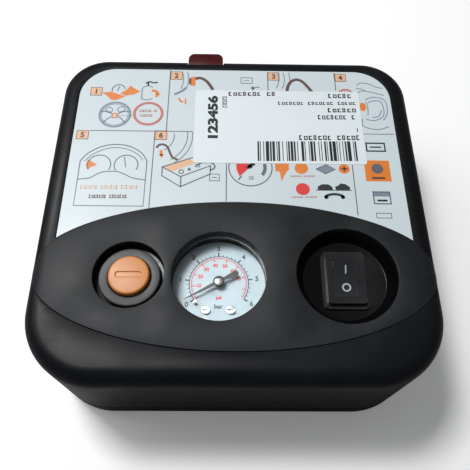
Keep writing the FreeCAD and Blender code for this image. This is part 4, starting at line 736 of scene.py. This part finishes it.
button = lathe("button_cap", cap_profile, WELL_CENTRE, cap_orange, "button", 192, finger_slot)
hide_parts("deflate_button")
collar_grey = moulded("collar_grey", (0.030, 0.031, 0.033), (0.12, 0.12, 0.122), shine=0.42, handling=0.7,
                      wear=0.5)
softened("button_collar", collar_grey, "case", 0.55, 4)


# --- Bleed valve ------------------------------------------------------------------------------
# Under the cap: a turned brass valve body, its steel stem with a rubber ring, and the steel coil
# spring that lifts the cap again.

brass = metallic("turned_brass", (0.62, 0.43, 0.15), (0.26, 0.15, 0.06), shine=0.22, tarnishing=0.5)
coated(brass, "bleed_valve_body", "outlet_port", "air_manifold")
coated(steel, "valve_stem", "button_spring")
coated(rubber, "stem_seal")


# --- Pressure gauge ---------------------------------------------------------------------------
# A drawn steel cup with a clear lens.  The white enamelled dial has a black scale and a red one;
# the needle is black sheet metal under a bright hub, driven by a brass sector below the dial.

GAUGE = (-6.5, -38.1)
DIAL_TOP = 48.5
SCALE_START = 215.0
SCALE_BARS = 6
BAR_STEP = 41.33
PSI_STEP = 28.5
BLACK_RING = 11.8
RED_RING = 11.0
NEEDLE_LEVEL = 50.6
NEEDLE_REST = 209.0
HUB_RADIUS = 1.75

cup_black = moulded("blackened_steel", (0.008, 0.009, 0.010), (0.16, 0.16, 0.17), shine=0.20,
                    grain_scale=900.0, wear=0.6, depth=0.006)
coated(cup_black, "gauge_case")
dial_enamel = sheet_material("dial_enamel", (0.30, 0.36, 0.385), (0.25, 0.29, 0.31), shine=0.42,
                             soiling=0.3, depth=0.01)
coated(dial_enamel, "gauge_dial")
coated(brass, "gauge_movement", "gauge_sector", "gauge_arbor")
softened("dial_screws", steel, "case", 0.16, 2)
coated(steel, "needle_stop_pin")
copper = metallic("bourdon_bronze", (0.62, 0.34, 0.20), (0.25, 0.13, 0.09), tarnishing=0.5)
coated(copper, "bourdon_tube")


def ray(angle, start, stop, width):
    """A scale mark along a radius of the dial."""
    a = math.radians(angle)
    ends = [(GAUGE[0] + r * math.cos(a), GAUGE[1] + r * math.sin(a)) for r in (start, stop)]
    return stroke(ends, width)


def round_dial(radius, angle):
    a = math.radians(angle)
    return GAUGE[0] + radius * math.cos(a), GAUGE[1] + radius * math.sin(a)


scale_end = SCALE_START - SCALE_BARS * BAR_STEP
dark_marks = arc(*GAUGE, BLACK_RING, 0.24, SCALE_START, scale_end)
for tenth in range(SCALE_BARS * 10 + 1):
    angle = SCALE_START - tenth * BAR_STEP / 10
    if tenth % 10 == 0:
        dark_marks += ray(angle, BLACK_RING, BLACK_RING + 1.7, 0.42)
        dark_marks += figures(str(tenth // 10), *round_dial(15.35, angle), 2.15, weight=0.03)
    elif tenth % 2 == 0:
        dark_marks += ray(angle, BLACK_RING, BLACK_RING + 0.95, 0.17)
dark_marks += figures("bar", GAUGE[0], GAUGE[1] - 9.6, 1.9, weight=0.03)
red_marks = arc(*GAUGE, RED_RING, 0.2, SCALE_START, scale_end)
for pair in range(44):
    angle = SCALE_START - pair * PSI_STEP / 5
    if angle < scale_end:
        break
    if pair % 5 == 0:
        red_marks += ray(angle, RED_RING - 1.35, RED_RING, 0.34)
        if 0 < pair < 40:
            red_marks += figures(str(pair * 2), *round_dial(8.0, angle), 1.7, weight=0.05)
    else:
        red_marks += ray(angle, RED_RING - 0.75, RED_RING, 0.15)
red_marks += figures("psi", GAUGE[0], GAUGE[1] - 6.2, 1.9, weight=0.05)
printed("dial_scale_black", dark_marks, DIAL_TOP + INK_STEP, black_ink)
dial_red = ink("ink_dial_red", (0.42, 0.03, 0.035))
printed("dial_scale_red", red_marks, DIAL_TOP + INK_STEP, dial_red)

needle_black = moulded("needle_enamel", (0.008, 0.008, 0.009), (0.10, 0.10, 0.10), shine=0.34, wear=0.3,
                       depth=0.004)
hub_silver = metallic("hub_nickel", (0.78, 0.78, 0.76), (0.40, 0.38, 0.35), shine=0.16, tarnishing=0.25)


def wall(work, low, high):
    """A band of faces between two closed rows of as many vertices."""
    for index in range(len(low)):
        after = (index + 1) % len(low)
        work.faces.new((low[index], low[after], high[after], high[index]))


def ease_edges(work, radius, segments):
    turned = [edge for edge in work.edges if edge.calc_face_angle(0.0) > math.radians(40)]
    bmesh.ops.bevel(work, geom=turned, offset=radius * MM, segments=segments, profile=0.5, affect="EDGES")


def formed(name, work, made, body):
    """A piece from a finished form."""
    mesh = bpy.data.meshes.new(name)
    work.to_mesh(mesh)
    work.free()
    smooth_shaded(mesh, 40)
    return piece(name, mesh, made, body)


def plate(name, loop, base, top, place, made, body, edge_radius):
    """A flat plate cut to an outline, its edges softened, laid in place by a matrix."""
    work = bmesh.new()
    low = [work.verts.new((x * MM, y * MM, base * MM)) for x, y in loop]
    high = [work.verts.new((x * MM, y * MM, top * MM)) for x, y in loop]
    work.faces.new(low[::-1])
    work.faces.new(high)
    wall(work, low, high)
    ease_edges(work, edge_radius, 2)
    bmesh.ops.transform(work, matrix=place, verts=work.verts)
    return formed(name, work, made, body)


pointer_turn = (Matrix.Translation((GAUGE[0] * MM, GAUGE[1] * MM, NEEDLE_LEVEL * MM))
                @ Matrix.Rotation(math.radians(NEEDLE_REST), 4, "Z"))
blade_side = [(15.4, 0.10), (9.0, 0.38), (2.4, 0.72), (-2.6, 0.62), (-4.8, 0.85), (-7.8, 1.05),
              (-8.4, 0.95), (-8.6, 0.60)]
blade = blade_side[::-1] + [(x, -y) for x, y in blade_side]
pointer = plate("needle_blade", blade, 0.02, 0.33, pointer_turn, needle_black, "needle", 0.05)
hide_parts("gauge_needle")
boss = [(radius, NEEDLE_LEVEL + rise) for radius, rise in (
    (2.3, 0.0), (2.3, 0.45), (2.15, 0.6), (1.2, 0.62), (1.2, 0.0), (2.3, 0.0))]
lathe("needle_boss", boss, GAUGE, needle_black, "needle", 64)
dome = [(HUB_RADIUS, NEEDLE_LEVEL + 0.4)]
dome += [(HUB_RADIUS * math.cos(math.radians(a)), NEEDLE_LEVEL + 0.5 + 0.45 * math.sin(math.radians(a)))
         for a in range(0, 91, 10)]
dome += [(0.0, NEEDLE_LEVEL + 0.4), (HUB_RADIUS, NEEDLE_LEVEL + 0.4)]
lathe("needle_hub", dome, GAUGE, hub_silver, "needle", 64)

lens, tree, shader = plain_material("clear_lens")
shader.inputs["Base Color"].default_value = (0.97, 0.985, 0.99, 1.0)
shader.inputs["IOR"].default_value = 1.49
shader.inputs["Transmission Weight"].default_value = 1.0
haze = limits(tree, noise(tree, 90.0, 5.0), 0.5, 0.8, 0.02, 0.10)
link(tree, haze, shader.inputs["Roughness"])
open_to_light = add(tree, "ShaderNodeBsdfTransparent", {"Color": (0.95, 0.97, 0.98, 1.0)})
shadow = add(tree, "ShaderNodeMixShader")
link(tree, add(tree, "ShaderNodeLightPath").outputs["Is Shadow Ray"], shadow.inputs["Fac"])
link(tree, shader.outputs["BSDF"], shadow.inputs[1])
link(tree, open_to_light.outputs["BSDF"], shadow.inputs[2])
link(tree, shadow.outputs["Shader"], tree.nodes["Material Output"].inputs["Surface"])
coated(lens, "gauge_lens")


# --- Rocker switch ----------------------------------------------------------------------------
# A snap-in rocker switch in glossy black nylon.  Its rocker tips on two pins in the frame and has
# a white bar on the far half and a ring on the near half; tinned blades take the leads inside.

PIVOT = (43.2, -37.7, 53.8)
ROCKER_HALF = 7.2
ROCKER_MIDDLE = 0.5
ROCKER_RISE = 1.2
ROCKER_TILT = 10.0
ROCKER_WIDE = 4.75
MARK_LIFT = 0.02
CORNER_STEPS = 6

switch_black = moulded("switch_nylon", (0.0075, 0.0080, 0.0090), (0.055, 0.057, 0.062), shine=0.24,
                       handling=0.5, wear=0.35, depth=0.01)
rocker_black = moulded("rocker_nylon", (0.0085, 0.0100, 0.0125), (0.06, 0.065, 0.07), shine=0.28,
                       handling=0.9, wear=0.4, depth=0.012)


def rounded(half_x, half_y, radius, centre):
    """The outline of a rectangle with rounded corners."""
    loop = []
    for turn, (sx, sy) in enumerate(((1, 1), (-1, 1), (-1, -1), (1, -1))):
        for step in range(CORNER_STEPS + 1):
            a = math.radians(90 * turn + 90 * step / CORNER_STEPS)
            loop.append((centre[0] + sx * (half_x - radius) + radius * math.cos(a),
                         centre[1] + sy * (half_y - radius) + radius * math.sin(a)))
    return loop


def bezel(name, outer, inner, base, top, made, body, edge_radius):
    """A flat ring between two outlines of as many points, its edges softened."""
    work = bmesh.new()
    rims = [[work.verts.new((x * MM, y * MM, z * MM)) for x, y in loop]
            for loop, z in ((outer, base), (outer, top), (inner, top), (inner, base))]
    for low, high in zip(rims, rims[1:] + rims[:1]):
        wall(work, low, high)
    ease_edges(work, edge_radius, 3)
    bmesh.ops.recalc_face_normals(work, faces=work.faces)
    return formed(name, work, made, body)


well = rounded(4.9, 7.8, 0.25, PIVOT)
for name, outer, inner, base, top, edge in (
        ("switch_flange", rounded(8.7, 12.1, 2.2, PIVOT), well, 52.0, 52.9, 0.35),
        ("switch_frame_top", rounded(7.5, 10.5, 1.3, PIVOT), well, 52.85, 55.0, 0.4),
        ("switch_box", rounded(6.5, 9.3, 0.5, PIVOT), well, 32.0, 52.0, 0.2)):
    ring = bezel(name, outer, inner, base, top, switch_black, "case", edge)
    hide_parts("switch_frame")
coated(steel, "switch_terminals", "motor_terminals")
mark_white = ink("ink_mark_white", (0.36, 0.39, 0.41), 0.3)
tilt = Matrix.Translation([c * MM for c in PIVOT]) @ Matrix.Rotation(math.radians(ROCKER_TILT), 4, "X")
upended = Matrix(((0, 0, 1, 0), (1, 0, 0, 0), (0, 1, 0, 0), (0, 0, 0, 1)))
tipping = plate("rocker_cap", [
    (-ROCKER_HALF, ROCKER_MIDDLE + ROCKER_RISE), (-ROCKER_HALF, -0.5), (-5.6, -4.0), (5.6, -4.0),
    (ROCKER_HALF, -0.5), (ROCKER_HALF, ROCKER_MIDDLE + ROCKER_RISE), (0.0, ROCKER_MIDDLE)],
    -ROCKER_WIDE, ROCKER_WIDE, tilt @ upended, rocker_black, "rocker", 0.3)
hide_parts("switch_rocker")
mark_level = ROCKER_MIDDLE + ROCKER_RISE / 2 + MARK_LIFT
for name, side, faces in (("rocker_mark_on", 1, bar(-0.29, 0.29, -1.7, 1.7)),
                          ("rocker_mark_off", -1, arc(0.0, 0.0, 1.45, 0.46))):
    slope = math.atan2(ROCKER_RISE, ROCKER_HALF) * side
    lie = (tilt @ Matrix.Translation((0.0, side * ROCKER_HALF / 2 * MM, mark_level * MM))
           @ Matrix.Rotation(slope, 4, "X"))
    printed(name, faces, 0.0, mark_white, "rocker", lie)


# --- Motor and reduction gear -----------------------------------------------------------------
# A can-type direct-current motor lying across the case: drawn steel can, moulded end cap, ferrite
# magnets and a stacked armature, with a small steel pinion that turns the large nylon crank gear.

black_nylon = moulded("black_nylon", (0.014, 0.014, 0.015), (0.07, 0.07, 0.07), shine=0.42)
white_nylon = moulded("natural_nylon", (0.62, 0.60, 0.53), (0.74, 0.72, 0.66), shine=0.38, depth=0.01)
ferrite = moulded("ferrite", (0.035, 0.034, 0.036), (0.11, 0.11, 0.11), shine=0.55, grain_scale=700.0)
aluminium = metallic("cast_aluminium", (0.66, 0.67, 0.68), (0.36, 0.36, 0.36), shine=0.36, tarnishing=0.35,
                     depth=0.02)
coated(steel, "motor_can", "motor_shaft", "motor_armature", "motor_pinion", "motor_screws", "crank_axle")
coated(black_nylon, "motor_end_cap")
coated(brass, "motor_bearings")
coated(copper, "motor_commutator")
coated(ferrite, "motor_magnets")
coated(white_nylon, "crank_gear")
coated(aluminium, "gear_frame")


# --- Cylinder and piston ----------------------------------------------------------------------
# A finned die-cast cylinder and head, with a piston of moulded nylon, its soft seal, and an
# aluminium connecting rod between the wrist pin and the crank pin.

coated(aluminium, "cylinder", "cylinder_head", "connecting_rod")
coated(black_nylon, "piston")
coated(rubber, "piston_seal", "check_valve")
coated(steel, "wrist_pin", "crank_pin", "head_screws")


# --- Air lines, lead and wall fittings --------------------------------------------------------
# Black rubber hoses pushed over barbs carry the air to the gauge, the bleed valve and the brass
# outlet; a red stranded lead runs to the switch, and a rubber gland closes the cord's hole.

lead_red = moulded("lead_insulation", (0.45, 0.012, 0.010), (0.55, 0.12, 0.09), shine=0.36)
coated(rubber, "gauge_hose", "supply_hose", "bleed_hose", "cord_gland")
coated(lead_red, "motor_lead_red")


# --- Rear catch -------------------------------------------------------------------------------
# A dark red polycarbonate catch that swings on a steel pin in a pocket of the rear wall, with a
# lip that is pulled outwards by a finger.

catch_red = moulded("catch_red", (0.055, 0.0020, 0.0045), (0.20, 0.035, 0.045), shine=0.22, handling=0.3,
                    wear=0.5, depth=0.008, gloss=0.4)
softened("rear_catch", catch_red, "catch", 0.35, 3, clamped=True)
coated(steel, "catch_pin")


# --- Studio -----------------------------------------------------------------------------------
# A wide white table under a white sky; both look brighter to the camera than what they throw on
# the machine.  A soft key light stands high at the back left, a broad weaker one beside it.

KEY = {"place": (-0.34, 0.27, 1.0), "power": 7.8, "size": 0.24}
FILL = {"place": (-0.60, 0.30, 0.75), "power": 3.3, "size": 0.7}
LIT_SPOT = Vector((0.0, 0.0, 0.04))
TABLE_THROWN = (0.38, 0.38, 0.39)
TABLE_SEEN = (0.93, 0.93, 0.93)
TABLE_GLOW = 0.14
SKY_THROWN = 0.16
SKY_SEEN = 0.85
VIEW_PLACE = (-3.93, -120.55, 252.92)
VIEW_PITCH = 62.91
VIEW_YAW = 2.11
VIEW_ROLL = 2.38
VIEW_LENS = 42.13

table = bpy.data.meshes.new("table")
table_corners = [(x, y, -0.05 * MM) for x, y in ((-4, -4), (4, -4), (4, 4), (-4, 4))]
table.from_pydata(table_corners, [], [(0, 1, 2, 3)])
white, tree, shader = plain_material("white_table")
shader.inputs["Roughness"].default_value = 0.9
shader.inputs["Emission Color"].default_value = (1.0, 1.0, 1.0, 1.0)
seen = add(tree, "ShaderNodeLightPath").outputs["Is Camera Ray"]
link(tree, blend_colour(tree, seen, TABLE_THROWN, TABLE_SEEN), shader.inputs["Base Color"])
link(tree, limits(tree, seen, 0.0, 1.0, 0.0, TABLE_GLOW), shader.inputs["Emission Strength"])
clear = add(tree, "ShaderNodeBsdfTransparent")
sides = add(tree, "ShaderNodeMixShader")
link(tree, add(tree, "ShaderNodeNewGeometry").outputs["Backfacing"], sides.inputs["Fac"])
link(tree, shader.outputs["BSDF"], sides.inputs[1])
link(tree, clear.outputs["BSDF"], sides.inputs[2])
link(tree, sides.outputs["Shader"], tree.nodes["Material Output"].inputs["Surface"])
floor = bpy.data.objects.new("table", table)
table.materials.append(white)
scene.collection.objects.link(floor)

sky = bpy.data.worlds.new("sky")
sky.use_nodes = True
tree = sky.node_tree
backdrop = tree.nodes["Background"]
backdrop.inputs["Color"].default_value = (0.94, 0.97, 1.0, 1.0)
seen = add(tree, "ShaderNodeLightPath").outputs["Is Camera Ray"]
link(tree, limits(tree, seen, 0.0, 1.0, SKY_THROWN, SKY_SEEN), backdrop.inputs["Strength"])
scene.world = sky
scene.view_settings.view_transform = "Standard"

for name, settings in (("key", KEY), ("fill", FILL)):
    lamp = bpy.data.lights.new(name, "AREA")
    lamp.energy = settings["power"]
    lamp.size = settings["size"]
    light = bpy.data.objects.new(name, lamp)
    light.location = settings["place"]
    light.rotation_euler = (LIT_SPOT - light.location).to_track_quat("-Z", "Y").to_euler()
    scene.collection.objects.link(light)

pitch, yaw, roll = (math.radians(a) for a in (VIEW_PITCH, VIEW_YAW, VIEW_ROLL))
forward = Vector((math.sin(yaw) * math.cos(pitch), math.cos(yaw) * math.cos(pitch), -math.sin(pitch)))
right = Vector((math.cos(yaw), -math.sin(yaw), 0.0))
up = Vector((math.sin(yaw) * math.sin(pitch), math.cos(yaw) * math.sin(pitch), math.cos(pitch)))
across = math.cos(roll) * right + math.sin(roll) * up
upright = math.cos(roll) * up - math.sin(roll) * right
camera_data = bpy.data.cameras.new("camera")
camera_data.lens = VIEW_LENS
camera_data.sensor_width = 36.0
camera_data.clip_start = 0.01
camera = bpy.data.objects.new("camera", camera_data)
scene.collection.objects.link(camera)
camera.matrix_world = Matrix.Translation([c * MM for c in VIEW_PLACE]) @ Matrix(
    (across, upright, -forward)).transposed().to_4x4()
scene.camera = camera
